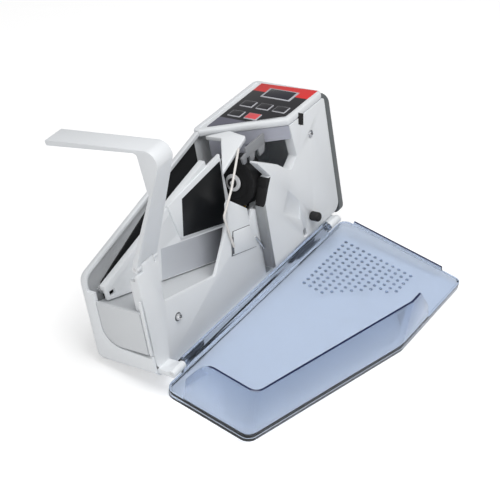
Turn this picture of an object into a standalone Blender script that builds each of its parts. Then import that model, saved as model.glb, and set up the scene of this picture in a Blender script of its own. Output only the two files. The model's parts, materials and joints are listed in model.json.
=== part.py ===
"""Portable banknote counter: leaning body, open hopper, feed, key panel, note arm and fold-down cover.

Every sub-part is drawn in the body's own upright axes: X along the hinge line, Y towards the back,
Z up the body from its underside. One empty leans the body back, as it stands in use.
"""
import math

import bmesh
import bpy
from mathutils import Vector

MM = 0.001

# Driving dimensions of the body
body_length = 212.3 * MM
body_depth = 57 * MM
body_height = 102.8 * MM
lean_angle = math.radians(14)
left_rim_drop = 34.8 * MM
left_rim_height = body_height - left_rim_drop
panel_back_length = 75.3 * MM
panel_front_length = 43.8 * MM
panel_left_back = body_length - panel_back_length
panel_left_front = body_length - panel_front_length
shell_wall = 2.6 * MM
plastic_wall = 2.4 * MM
seat_gap = 0.3 * MM
overrun = 2 * MM
merge_distance = 0.01 * MM
set_in = 0.06 * MM
arc_steps = 5
round_sides = 24
small_sides = 16

# Cover hinge and tray
hinge_y = -3.9 * MM
hinge_z = 5.6 * MM
tray_tilt = math.radians(18)
tray_depth = 13.8 * MM
tray_overhang = 2.3 * MM
tray_left = -tray_overhang
tray_right = body_length + tray_overhang
tray_left_reach = 64.5 * MM
tray_full_reach = 98.0 * MM
tray_flat_length = 81.3 * MM
tray_flat_start = body_length - tray_flat_length
tray_wall = 1.6 * MM
ground_clearance = 0.3 * MM

# Front walls
recess_y = 6.8 * MM
front_bottom = 3.0 * MM
cover_bottom = 8.6 * MM
cover_length = 85.5 * MM
cover_left = body_length - cover_length

# Hopper
floor_rim_drop = 17.3 * MM
floor_left_z = left_rim_height - floor_rim_drop
floor_lap = 1.2 * MM
floor_right_x = cover_left + floor_lap
floor_right_z = 16.1 * MM

# Press plate
plate_pivot_gap = 11.8 * MM
plate_pivot_x = cover_left - plate_pivot_gap
plate_pivot_y = 26.6 * MM
plate_skew = math.radians(6.5)
plate_lean = math.radians(3)
plate_thickness = 2.4 * MM
plate_start_x = 5.5 * MM
plate_end_lap = 2.2 * MM
plate_end_x = plate_pivot_x + plate_end_lap

# Feed mechanism
roller_from_cover = 10.3 * MM
roller_x = cover_left + roller_from_cover
roller_y = 24 * MM
roller_drop = 34.2 * MM
roller_z = body_height - roller_drop
roller_tilt = math.radians(15)
roller_radius = 17 * MM
roller_half = 7.5 * MM
shaft_radius = 2.0 * MM

# Note arm
arm_right_x = 25.2 * MM
arm_left_low = 5.0 * MM
arm_left_high = 12.2 * MM
lug_left = 9.6 * MM
lug_right = 20.8 * MM
arm_pivot_y = 9.4 * MM
post_drop = 25.8 * MM
post_top = body_height - post_drop
arm_pivot_rise = 3.6 * MM
arm_pivot_z = post_top + arm_pivot_rise
arm_lean = math.radians(18.5)
arm_strip_length = 89 * MM
arm_reach = 91 * MM
arm_thickness = 3.3 * MM


def clear_scene():
    """Remove the objects of the start-up scene."""
    for obj in list(bpy.data.objects):
        bpy.data.objects.remove(obj, do_unlink=True)


def finish_material(name, colour, roughness, metallic=0.0, alpha=1.0):
    """One Principled material with a plain colour."""
    material = bpy.data.materials.new(name)
    material.use_nodes = True
    shader = material.node_tree.nodes["Principled BSDF"]
    shader.inputs["Base Color"].default_value = (*colour, 1.0)
    shader.inputs["Roughness"].default_value = roughness
    shader.inputs["Metallic"].default_value = metallic
    shader.inputs["Alpha"].default_value = alpha
    return material


clear_scene()
white_plastic = finish_material("white_plastic", (0.80, 0.82, 0.83), 0.32)
grey_plastic = finish_material("grey_plastic", (0.13, 0.14, 0.14), 0.45)
black_rubber = finish_material("black_rubber", (0.015, 0.016, 0.018), 0.7)
black_film = finish_material("black_film", (0.03, 0.03, 0.034), 0.35)
red_film = finish_material("red_film", (0.75, 0.04, 0.04), 0.35)
dark_screen = finish_material("dark_screen", (0.02, 0.022, 0.024), 0.15)
tray_plastic = finish_material("tray_plastic", (0.36, 0.44, 0.62), 0.12, alpha=0.45)
steel = finish_material("steel", (0.72, 0.72, 0.70), 0.25, metallic=1.0)
board_green = finish_material("board_green", (0.03, 0.16, 0.07), 0.5)
brass = finish_material("brass", (0.72, 0.55, 0.25), 0.35, metallic=1.0)

# The empties that carry the sub-parts: the leaning body, and one on each joint's axis
body_frame = bpy.data.objects.new("body_frame", None)
bpy.context.collection.objects.link(body_frame)
body_frame.rotation_euler = (-lean_angle, 0.0, 0.0)


def axis_empty(name, place, turn_x=0.0, turn_z=0.0):
    """An empty on a joint's axis, carried by the leaning body."""
    empty = bpy.data.objects.new(name, None)
    bpy.context.collection.objects.link(empty)
    empty.parent = body_frame
    empty.location = place
    empty.rotation_euler = (turn_x, 0.0, turn_z)
    return empty


def rounded(points, radius):
    """Outline with each corner replaced by an arc; a point may carry its own radius as a third value."""
    outline = []
    count = len(points)
    for i in range(count):
        corner = Vector(points[i][:2])
        before = Vector(points[i - 1][:2]) - corner
        after = Vector(points[(i + 1) % count][:2]) - corner
        size = points[i][2] if len(points[i]) > 2 else radius
        angle = before.angle(after)
        if size <= 0 or angle > math.radians(178):
            outline.append(tuple(corner))
            continue
        reach = min(size / math.tan(angle / 2), before.length * 0.48, after.length * 0.48)
        size = reach * math.tan(angle / 2)
        middle = (before.normalized() + after.normalized()).normalized()
        centre = corner + middle * (size / math.sin(angle / 2))
        start = corner + before.normalized() * reach - centre
        end = corner + after.normalized() * reach - centre
        sweep = start.angle_signed(end)
        for step in range(arc_steps + 1):
            turn = -sweep * step / arc_steps
            c, s = math.cos(turn), math.sin(turn)
            outline.append((centre.x + start.x * c - start.y * s, centre.y + start.x * s + start.y * c))
    return outline


def shape(points, shrink=0.0):
    """Rounded outline of corners (u, v, radius), moved inwards by a distance, run anticlockwise."""
    corners = [(*p, 0.0)[:3] for p in anticlockwise(points)]
    result = []
    for i, (u, v, radius) in enumerate(corners):
        here = Vector((u, v))
        d1 = (here - Vector(corners[i - 1][:2])).normalized()
        d2 = (Vector(corners[(i + 1) % len(corners)][:2]) - here).normalized()
        n1, n2 = Vector((-d1.y, d1.x)), Vector((-d2.y, d2.x))
        middle = (n1 + n2).normalized()
        moved = here + middle * (shrink / max(middle.dot(n1), 0.3))
        convex = d1.x * d2.y - d1.y * d2.x > 0
        size = max(radius - shrink, 0.0) if convex else (radius + shrink if radius > 0 else 0.0)
        result.append((moved.x, moved.y, size))
    return rounded(result, 0.0)


def anticlockwise(points):
    """The same outline, run anticlockwise."""
    area = sum(a[0] * b[1] - b[0] * a[1] for a, b in zip(points, points[1:] + points[:1]))
    return list(points) if area > 0 else list(points)[::-1]


def mesh_object(name, bm, material, parent=body_frame):
    """Close a bmesh into a named object with outward faces."""
    bmesh.ops.remove_doubles(bm, verts=bm.verts, dist=merge_distance)
    bmesh.ops.recalc_face_normals(bm, faces=bm.faces)
    mesh = bpy.data.meshes.new(name)
    bm.to_mesh(mesh)
    bm.free()
    mesh.materials.append(material)
    obj = bpy.data.objects.new(name, mesh)
    bpy.context.collection.objects.link(obj)
    obj.parent = parent
    return obj


def add_prism(bm, outline, low, high, axis):
    """Extrude an outline along Y (outline in X, Z), X (outline in Y, Z) or Z (outline in X, Y)."""
    def place(u, v, depth):
        return {"y": (u, depth, v), "x": (depth, u, v), "z": (u, v, depth)}[axis]
    bottom = [bm.verts.new(place(u, v, low)) for u, v in outline]
    top = [bm.verts.new(place(u, v, high)) for u, v in outline]
    faces = [bm.faces.new(bottom), bm.faces.new(top[::-1])]
    count = len(outline)
    for i in range(count):
        j = (i + 1) % count
        faces.append(bm.faces.new((bottom[i], top[i], top[j], bottom[j])))
    bmesh.ops.recalc_face_normals(bm, faces=faces)
    return bm


def prism(name, outline, low, high, axis, material, parent=body_frame):
    """One extruded outline as an object."""
    return mesh_object(name, add_prism(bmesh.new(), outline, low, high, axis), material, parent)


def circle(centre, radius, sides=round_sides):
    """A round outline."""
    return [(centre[0] + radius * math.cos(math.tau * i / sides),
             centre[1] + radius * math.sin(math.tau * i / sides)) for i in range(sides)]


def rectangle(u0, v0, u1, v1):
    """A rectangular outline."""
    return [(u0, v0), (u1, v0), (u1, v1), (u0, v1)]


def turned(name, profile, axis, centre, material, parent=body_frame, sides=round_sides):
    """Turn a profile of (distance along the axis, radius) round an axis through a centre."""
    bm = bmesh.new()
    rings = []
    for along, radius in profile:
        ring = []
        for u, v in circle((0.0, 0.0), radius, sides):
            local = {"x": (along, u, v), "y": (u, along, v), "z": (u, v, along)}[axis]
            ring.append(bm.verts.new(Vector(centre) + Vector(local)))
        rings.append(ring)
    for lower, upper in zip(rings, rings[1:]):
        for i in range(sides):
            j = (i + 1) % sides
            bm.faces.new((lower[i], lower[j], upper[j], upper[i]))
    bm.faces.new(rings[0])
    bm.faces.new(rings[-1][::-1])
    return mesh_object(name, bm, material, parent)


def swept(name, points, radius, material, parent=body_frame, sides=8):
    """A round wire through points, with filled ends."""
    curve = bpy.data.curves.new(name, "CURVE")
    curve.dimensions = "3D"
    curve.bevel_depth = radius
    curve.bevel_resolution = max(0, (sides - 4) // 2)
    curve.use_fill_caps = True
    spline = curve.splines.new("POLY")
    spline.points.add(len(points) - 1)
    for point, place in zip(spline.points, points):
        point.co = (*place, 1.0)
    obj = bpy.data.objects.new(name, curve)
    bpy.context.collection.objects.link(obj)
    curve.materials.append(material)
    obj.parent = parent
    return obj


def cutter(obj):
    """Turn an object into a hidden cutting shape."""
    obj.hide_render = True
    obj.display_type = "WIRE"
    return obj


def carve(target, tool, operation="DIFFERENCE"):
    """Cut a tool from a target, or join it, with an exact Boolean that stays live."""
    cutter(tool)
    modifier = target.modifiers.new(f"{operation.lower()} {tool.name}", "BOOLEAN")
    modifier.operation = operation
    modifier.solver = "EXACT"
    modifier.object = tool
    return target


def smooth(obj, angle=40):
    """Shade round surfaces smooth and keep sharp edges."""
    if obj.type == "MESH":
        obj.data.shade_smooth()
        obj.data.set_sharp_from_angle(angle=math.radians(angle))
    return obj


def floor_z(x):
    """Height of the sloping hopper floor."""
    return floor_left_z + (floor_right_z - floor_left_z) * x / floor_right_x


# Rear shell: a moulded tub, open at the front and along the slanted top
shell_front_y = recess_y + seat_gap
shell_corner = 9 * MM
shell_back_round = 5 * MM
shell_lip = 6.5 * MM
seam_inset = 12.1 * MM
seam_back_y = body_depth - seam_inset
seam_low_z = 18.5 * MM
seam_front_drop = 2.5 * MM
seam_round = 14 * MM


def shell_outline(shrink=0.0):
    """Front view of the tub: level foot, slanted rim rising to the level panel."""
    points = [(0.0, 0.0, shell_corner), (body_length, 0.0, shell_corner),
              (body_length, body_height - seat_gap, shell_corner),
              (panel_left_back, body_height - seat_gap, shell_corner), (0.0, left_rim_height, shell_corner)]
    return shape(points, shrink)


def build_rear_shell():
    """The tub with its inner hollow, slanted mouth, end seam and screw bosses."""
    shell = prism("rear_shell", shell_outline(), shell_front_y, body_depth, "y", white_plastic)
    back = shell.modifiers.new("back edge round", "BEVEL")
    back.limit_method = "VGROUP"
    group = shell.vertex_groups.new(name="back")
    group.add([v.index for v in shell.data.vertices if v.co.y > body_depth - overrun / 2], 1.0, "REPLACE")
    back.vertex_group = "back"
    back.width = shell_back_round
    back.segments = 3
    hollow = prism("shell_hollow", shell_outline(shell_wall), shell_front_y - overrun,
                   body_depth - shell_wall, "y", white_plastic)
    carve(shell, hollow)
    mouth_left = -overrun
    mouth = prism("shell_mouth", [(mouth_left, left_rim_height - shell_corner - overrun),
                                  (shell_corner, left_rim_height - shell_corner - overrun),
                                  (panel_left_back, body_height - shell_wall - shell_corner),
                                  (panel_left_front, body_height - shell_wall - shell_corner),
                                  (panel_left_front, body_height + overrun),
                                  (mouth_left, body_height + overrun)],
                  -overrun, body_depth - shell_lip, "y", white_plastic)
    carve(shell, mouth)
    panel_cut = prism("shell_panel_cut", rectangle(panel_left_back - shell_wall, -overrun,
                                                   body_length + overrun, body_depth + overrun),
                      body_height - top_cover_height - seat_gap, body_height + overrun, "z", white_plastic)
    carve(shell, panel_cut)
    seam = prism("shell_seam_cut", rounded([(-overrun, seam_low_z - seam_front_drop, 0),
                                            (seam_back_y, seam_low_z, seam_round),
                                            (seam_back_y, body_height, 0), (-overrun, body_height, 0)], 0.0),
                 -overrun, shell_wall + overrun, "x", white_plastic)
    carve(shell, seam)
    socket = prism("shell_jack_cut", circle((jack_y, jack_z), jack_radius + seat_gap, small_sides),
                   body_length - shell_wall - overrun, body_length + overrun, "x", white_plastic)
    carve(shell, socket)
    battery = prism("shell_battery_cut", rounded(rectangle(battery_left, battery_low, battery_right,
                                                           battery_high),
                                                 battery_corner), body_depth - shell_wall - overrun,
                    body_depth + overrun, "y", white_plastic)
    carve(shell, battery)
    return shell


# Power inlet in the right end and battery lid in the back
jack_inset = 15 * MM
jack_y = body_depth - jack_inset
jack_z = 22 * MM
jack_radius = 4.2 * MM
jack_bore = 2.8 * MM
jack_length = 12 * MM
battery_from_end = 56.3 * MM
battery_low = 14 * MM
battery_high = 50 * MM
battery_corner = 4 * MM
cell_radius = 5.2 * MM
cell_length = 44.5 * MM
battery_right = body_length - battery_from_end
battery_left = battery_right - 2 * (cell_length + overrun) - 10 * seat_gap
top_cover_height = 5.0 * MM


def build_power():
    """Round power inlet with its bore and pin, battery lid with grip ribs, and two cells behind it."""
    outer = body_length + end_thickness - seat_gap
    jack = turned("power_inlet", [(-jack_length, jack_radius), (0.0, jack_radius)], "x",
                  (outer, jack_y, jack_z), grey_plastic, sides=small_sides)
    bore = turned("inlet_bore", [(-jack_length * 0.7, jack_bore), (overrun, jack_bore)], "x",
                  (outer, jack_y, jack_z), grey_plastic, sides=small_sides)
    carve(jack, bore)
    lid_outline = rounded(rectangle(battery_left + seat_gap, battery_low + seat_gap,
                                    battery_right - seat_gap, battery_high - seat_gap), battery_corner)
    bm = add_prism(bmesh.new(), lid_outline, body_depth - shell_wall, body_depth, "y")
    lid = mesh_object("battery_lid", bm, white_plastic)
    rib_pitch = 3.2 * MM
    rib_depth = 0.8 * MM
    rib_half = 9 * MM
    middle = (battery_left + battery_right) / 2
    grooves = bmesh.new()
    for i in range(4):
        low = battery_high - 6 * rib_pitch + i * rib_pitch
        add_prism(grooves, rectangle(middle - rib_half, low, middle + rib_half, low + rib_pitch / 2),
                  body_depth - rib_depth, body_depth + overrun, "y")
    carve(lid, mesh_object("lid_grooves", grooves, white_plastic))
    cell_y = body_depth - shell_wall - seat_gap - cell_radius
    row_low = battery_low + cell_radius + overrun
    for index in range(4):
        left = battery_left + overrun + (index % 2) * (cell_length + seat_gap * 3)
        centre_z = row_low + (index // 2) * (2 * cell_radius + seat_gap)
        prism(f"battery_cell_{index + 1}", circle((cell_y, centre_z), cell_radius, small_sides), left,
              left + cell_length, "x",
              grey_plastic)


# Hopper frame: left end wall, sloping floor and its rear rail
frame_depth_front = recess_y + plastic_wall + seat_gap
end_wall_drop = 19.5 * MM
end_wall_top = left_rim_height - end_wall_drop


def build_hopper_frame():
    """The white inner moulding: end wall flush with the shell's seam, and the sloping note floor."""
    floor_drop = plastic_wall * 1.2
    left = plastic_wall * 0.6
    outline = [(left, floor_z(left) - floor_drop), (floor_right_x, floor_z(floor_right_x) - floor_drop),
               (floor_right_x, floor_z(floor_right_x)), (left, floor_z(left))]
    frame = prism("hopper_frame", outline, frame_depth_front, seam_back_y - seat_gap, "y", white_plastic)
    end = shape([(frame_depth_front - seat_gap, seam_low_z), (seam_back_y, seam_low_z, seam_round),
                 (seam_back_y, end_wall_top + plastic_wall), (frame_depth_front - seat_gap,
                                                              end_wall_top + plastic_wall)], seat_gap)
    carve(frame, prism("frame_end", end, seat_gap, plastic_wall, "x", white_plastic), "UNION")
    cells_front = body_depth - shell_wall - 2 * seat_gap - 2 * cell_radius
    back_step = prism("frame_step_cut", rectangle(battery_left - overrun, cells_front - seat_gap,
                                                  floor_right_x + overrun, body_depth),
                      0.0, body_height, "z", white_plastic)
    carve(frame, back_step)
    return frame


# Front housing: recessed wall with sill, left post and the pocket under the roller
post_left = 3.0 * MM
flange_depth = 7 * MM
flange_drop = 4 * MM
lug_foot = 8 * MM
lug_round = 2.5 * MM
post_right_top = 25.2 * MM
post_right_low = 21.5 * MM
sill_drop = 3.7 * MM
sill_left_z = floor_left_z - sill_drop
sill_from_cover = 52.7 * MM
sill_right_x = cover_left - sill_from_cover
sill_rise = 3.2 * MM
sill_right_z = floor_z(sill_right_x) + sill_rise
lip_in, lip_drop = 0.3 * MM, 47.6 * MM
shoulder_in, shoulder_drop = 3.5 * MM, 46.2 * MM
groove_in, groove_drop = 8.9 * MM, 53.9 * MM
facet_in, facet_drop = 8.7 * MM, 42.4 * MM
crest_in, crest_drop = 25.6 * MM, 26.5 * MM
brow_in, brow_drop = 28.2 * MM, 28.6 * MM
cheek_in, cheek_drop = 30.6 * MM, 41.4 * MM
pocket_edge = [(cover_left - inward, body_height - drop) for inward, drop in
               ((lip_in, lip_drop), (shoulder_in, shoulder_drop), (groove_in, groove_drop),
                (facet_in, facet_drop),
                (crest_in, crest_drop), (brow_in, brow_drop), (cheek_in, cheek_drop))]
knuckle_radius = 2.7 * MM
knuckle_width = 12.2 * MM
knuckle_left = (post_left + seat_gap / 2, post_left + seat_gap / 2 + knuckle_width)
knuckle_from_end = 8.8 * MM
knuckle_right = (body_length - knuckle_from_end - knuckle_width, body_length - knuckle_from_end)
pin_radius = 1.1 * MM


def build_front_housing():
    """Recessed front wall: post for the note arm, sloping sill, V-shaped pocket edge and hinge knuckles."""
    outline = rounded([(post_left, front_bottom, shell_corner), (cover_left - seat_gap, front_bottom, 0),
                       *pocket_edge, (sill_right_x, sill_right_z, overrun),
                       (post_right_low, sill_left_z, overrun), (post_right_top, post_top, overrun),
                       (post_left, post_top, overrun)], 0.0)
    housing = prism("front_housing", anticlockwise(outline), recess_y, recess_y + plastic_wall, "y",
                    white_plastic)
    flange = prism("post_flange", rectangle(recess_y, shell_corner + overrun, recess_y + flange_depth,
                                            post_top - flange_drop),
                   post_left, post_left + plastic_wall, "x", white_plastic)
    notch_low = end_wall_top - plastic_wall
    flange_clear = prism("flange_clear", rectangle(recess_y + plastic_wall + seat_gap / 2, 0.0,
                                                   recess_y + flange_depth + overrun,
                                                   notch_low + overrun * 2),
                         post_left - overrun, post_left + plastic_wall + overrun, "x", white_plastic)
    carve(flange, flange_clear)
    carve(housing, flange, "UNION")
    lug = prism("post_lug", rounded([(recess_y, post_top - lug_foot, 0),
                                     (arm_pivot_y + lug_round, post_top - lug_foot, 0),
                                     (arm_pivot_y + lug_round, arm_pivot_z + lug_round, lug_round),
                                     (recess_y, arm_pivot_z + lug_round, lug_round)], 0.0),
                lug_left, lug_right, "x", white_plastic)
    carve(housing, lug, "UNION")
    carve(housing, prism("lug_bore", circle((arm_pivot_y, arm_pivot_z), pin_radius + bore_play,
                                            small_sides), lug_left - overrun,
                         lug_right + overrun, "x", steel))
    for name, (low, high) in (("left", knuckle_left), ):
        knuckle = prism(f"knuckle_{name}", knuckle_outline(), low, high, "x", white_plastic)
        carve(housing, knuckle, "UNION")
        bore = turned(f"knuckle_bore_{name}", [(low - overrun, pin_radius + bore_play),
                                               (high + overrun, pin_radius + bore_play)],
                      "x", (0.0, hinge_y, hinge_z), steel, sides=small_sides)
        carve(housing, bore)
    return housing


def knuckle_outline():
    """Side view of a hinge knuckle: a round barrel with a web back to the front wall."""
    barrel = [(hinge_y + knuckle_radius * math.cos(a), hinge_z + knuckle_radius * math.sin(a))
              for a in [math.radians(60 + 240 * i / 12) for i in range(13)]]
    web_end = recess_y + 3 * set_in
    web = [(web_end, hinge_z - overrun), (web_end, hinge_z + overrun * 0.7),
           (hinge_y + knuckle_radius, hinge_z + overrun * 0.7)]
    return anticlockwise(barrel + web)


# Front cover: the raised right-hand wall, with a skirt back to the recessed wall
def front_cover_outline():
    """Front view of the raised wall: round the roller, along the guide tongue and up beside the window."""
    right, top = body_length, body_height - top_cover_height - seat_gap
    upper = [(body_length - inward, body_height - drop, radius) for inward, drop, radius in
             ((jamb_in, jamb_drop, tight_round), (throat_in, throat_drop, tight_round),
              (ramp_in, ramp_drop, 3 * tight_round),
              (tongue_in, tongue_drop, tip_round), (chin_in, chin_drop, tight_round),
              (notch_in, notch_drop, 0),
              (heel_in, notch_drop, 0), (cradle_in, cradle_drop, tight_round))]
    return shape([(cover_left, cover_bottom, tip_round), (right, cover_bottom, cover_corner),
                  (right, top, tight_round),
                  (body_length - jamb_top_in, top, 0), *upper, (cover_left, body_height - wall_drop,
                                                            tight_round)])


tip_round = 0.8 * MM
tight_round = 2 * MM
cover_corner = 7 * MM
jamb_top_in = 43.3 * MM
jamb_in, jamb_drop = 40.4 * MM, 30.2 * MM
throat_in, throat_drop = 50 * MM, 36.4 * MM
ramp_in, ramp_drop = 63.1 * MM, 24.4 * MM
tongue_in, tongue_drop = 85.7 * MM, 10.2 * MM
chin_in, chin_drop = 77.3 * MM, 21.5 * MM
notch_in, notch_drop = 72.3 * MM, 28.2 * MM
heel_in = 76.7 * MM
cradle_in, cradle_drop = 79.5 * MM, 34.3 * MM
wall_drop = 44.8 * MM
skirt_back = recess_y


def build_front_cover():
    """Raised wall, hollow behind, with its latch slot, screw seat, thumb recess and gauge hole."""
    cover = prism("front_cover", front_cover_outline(), 0.0, skirt_back, "y", white_plastic)
    left = cover_left + plastic_wall
    right = body_length - plastic_wall
    top = body_height - top_cover_height - plastic_wall
    jamb = body_length - jamb_in + plastic_wall
    inner = shape([(left, cover_bottom + plastic_wall, 0), (right, cover_bottom + plastic_wall,
                                                            cover_corner - plastic_wall),
                   (right, top, 0), (jamb, top, 0), (jamb, body_height - throat_drop - plastic_wall, 0),
                   (body_length - throat_in, body_height - throat_drop - plastic_wall * 1.4, 0),
                   (body_length - ramp_in, body_height - ramp_drop - plastic_wall * 2, 0),
                   (body_length - ramp_in - plastic_wall * 2.4,
                    body_height - ramp_drop - plastic_wall * 2.8, 0),
                   (body_length - heel_in + plastic_wall / 2, body_height - cradle_drop - plastic_wall, 0),
                   (left, body_height - wall_drop - plastic_wall, 0)])
    hollow = prism("cover_hollow", inner, plastic_wall, skirt_back + overrun, "y", white_plastic)
    carve(cover, hollow)
    latch_x, latch_low = body_length - latch_from_end, body_height - latch_drop
    latch = prism("latch_slot", rectangle(latch_x - latch_half, latch_low, latch_x + latch_half,
                                          body_height),
                  -overrun, plastic_wall + overrun, "y", white_plastic)
    carve(cover, latch)
    seat = turned("screw_seat", [(-overrun, screw_head + seat_gap), (screw_sink, screw_head + seat_gap)],
                  "y",
                  (screw_x, 0.0, screw_z), steel, sides=small_sides)
    carve(cover, seat)
    gauge_x, gauge_z = body_length - gauge_from_end, cover_bottom + gauge_rise
    gauge = prism("gauge_hole", rounded(rectangle(gauge_x - gauge_half, gauge_z, gauge_x + gauge_half,
                                                  gauge_z + 4 * gauge_half),
                                        gauge_half * 0.9),
                  -overrun, plastic_wall + overrun, "y", white_plastic)
    carve(cover, gauge)
    bumper_hole = turned("bumper_hole", [(-overrun, bumper_stem + seat_gap),
                                         (plastic_wall + overrun, bumper_stem + seat_gap)],
                         "y", (bumper_x, 0.0, bumper_z), steel, sides=small_sides)
    carve(cover, bumper_hole)
    dent = bmesh.new()
    deep = [0.0, thumb_depth, thumb_depth * 0.6, 0.0]
    corners = [(body_length - inward, body_height - drop) for inward, drop in
               ((thumb_in, thumb_drop), (thumb_in + thumb_side, thumb_drop + thumb_fall),
                (thumb_in - thumb_near, thumb_low_drop), (thumb_in - thumb_near - thumb_side / 4,
                                                          thumb_low_drop - thumb_fall))]
    front = [dent.verts.new((x, -overrun, z)) for x, z in corners]
    back = [dent.verts.new((x, y + set_in / 3, z)) for (x, z), y in zip(corners, deep)]
    dent.faces.new(front)
    dent.faces.new((back[0], back[2], back[1]))
    dent.faces.new((back[0], back[3], back[2]))
    for i in range(4):
        j = (i + 1) % 4
        dent.faces.new((front[i], front[j], back[j], back[i]))
    carve(cover, mesh_object("thumb_dent", dent, white_plastic))
    return cover


latch_half = 1.5 * MM
latch_from_end = 30 * MM
latch_drop = 11.2 * MM
gauge_half = 1.8 * MM
gauge_from_end = 44.4 * MM
gauge_rise = 1.2 * MM
thumb_in, thumb_drop = 56.3 * MM, 48.2 * MM
thumb_side, thumb_fall = 9.7 * MM, 13.6 * MM
thumb_near, thumb_low_drop = 8.8 * MM, 76.5 * MM
thumb_depth = 1.9 * MM
screw_from_end = 20.8 * MM
screw_drop = 23.2 * MM
screw_x = body_length - screw_from_end
screw_z = body_height - screw_drop
screw_head = 2.6 * MM
screw_sink = 1.5 * MM
screw_length = 8 * MM
low_screw_x = 31.2 * MM
low_screw_z = 29.3 * MM
bumper_from_end = 34.3 * MM
bumper_x = body_length - bumper_from_end
bumper_z = 21.6 * MM
bumper_radius = 3.4 * MM
bumper_stem = 2.0 * MM
bumper_reach = 7 * MM


def build_front_fittings():
    """Rubber bumper, the two front screws, the dark end trim and the lower knuckle bracket."""
    turned("cover_bumper", [(-bumper_reach, bumper_radius * 0.86), (-bumper_reach * 0.8, bumper_radius),
                            (-seat_gap, bumper_radius), (-seat_gap / 2, bumper_stem),
                            (plastic_wall, bumper_stem)],
           "y", (bumper_x, 0.0, bumper_z), black_rubber, sides=small_sides)
    for name, x, z, face, seat in (("cover_screw", screw_x, screw_z, 0.0, screw_sink),
                                   ("post_screw", low_screw_x, low_screw_z, recess_y, 0.0)):
        turned(name, [(face + seat - screw_sink, screw_head), (face + seat - seat_gap, screw_head)], "y",
               (x, 0.0, z), steel,
               sides=small_sides)
    trim = shape([(0.0, end_low, end_round), (body_depth, end_low, end_round),
                  (body_depth, end_high, end_round),
                  (0.0, end_high, end_round)])
    end = prism("end_cap", trim, body_length + seat_gap, body_length + end_thickness, "x", grey_plastic)
    carve(end, prism("end_jack_cut", circle((jack_y, jack_z), jack_radius + seat_gap, small_sides),
                     body_length - overrun,
                     body_length + end_thickness + overrun, "x", white_plastic))


end_round = 6 * MM
end_low = 2.9 * MM
end_drop = 5.3 * MM
end_high = body_height - end_drop
end_thickness = 5.8 * MM


# Top cover: the key panel's housing, cut off along a diagonal over the hopper
panel_round = 3 * MM
panel_corner = 4 * MM
panel_lap = 1 * MM
panel_heel = 1.5 * MM
panel_edge = 1.4 * MM
panel_sink = 0.6 * MM
panel_border = 3.6 * MM
board_thickness = 1.2 * MM
board_rise = 1.4 * MM
switch_rise = 0.35 * MM
switch_half = 2 * MM


def top_outline(shrink=0.0):
    """Plan of the panel housing: square on the right, diagonal on the left."""
    points = [(panel_left_front, 0.0, panel_round), (body_length, 0.0, panel_corner),
              (body_length, body_depth, panel_corner),
              (panel_left_back - panel_lap, body_depth, panel_round),
              (panel_left_back - panel_lap - panel_heel, body_depth - 4 * panel_heel, panel_round / 2)]
    return shape(points, shrink)


def build_top_cover():
    """Panel housing with a sunk field for the overlay, hollow below, with holes for window and keys."""
    low = body_height - top_cover_height
    cover = prism("top_cover", top_outline(), low, body_height, "z", white_plastic)
    bevel = cover.modifiers.new("rim round", "BEVEL")
    bevel.limit_method = "ANGLE"
    bevel.angle_limit = math.radians(60)
    bevel.width = panel_edge
    bevel.segments = 2
    hollow = prism("top_hollow", top_outline(plastic_wall), low - overrun,
                   body_height - plastic_wall - panel_sink, "z", white_plastic)
    carve(cover, hollow)
    field = prism("top_field", top_outline(panel_border), body_height - panel_sink, body_height + overrun,
                  "z", white_plastic)
    carve(cover, field)
    for x, y in key_places():
        hole = prism("key_hole", rectangle(x - key_x / 2 - key_clear, y - key_y / 2 - key_clear,
                                           x + key_x / 2 + key_clear, y + key_y / 2 + key_clear),
                     low, body_height + overrun, "z", white_plastic)
        carve(cover, hole)
    carve(cover, prism("window_hole", rectangle(*window_box(seat_gap)), low, body_height + overrun, "z",
                       white_plastic))
    return cover


key_row_one = 33.9 * MM
key_row_pitch = 14.6 * MM
key_first_y = 12.3 * MM
key_pitch = 13.5 * MM
key_x = 8.2 * MM
key_y = 10.4 * MM
key_clear = 0.35 * MM
key_round = 1 * MM
key_rise = 0.5 * MM
key_travel = 0.5 * MM
window_from_end = 21 * MM
window_width = 12.9 * MM
window_left = body_length - window_from_end
window_high_x = window_left + window_width
window_front_y = 14.1 * MM
window_back_y = 37.6 * MM


def key_places():
    """Centres of the five keys: three in the row by the window, two in the row before it."""
    row_one = body_length - key_row_one
    row_two = row_one - key_row_pitch
    return [(row_one, key_first_y + 2 * key_pitch), (row_one, key_first_y + key_pitch),
            (row_one, key_first_y),
            (row_two, key_first_y + 2 * key_pitch), (row_two, key_first_y + key_pitch)]


def window_box(grow=0.0):
    """Plan corners of the display window."""
    return (window_left - grow, window_front_y - grow, window_high_x + grow, window_back_y + grow)


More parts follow.
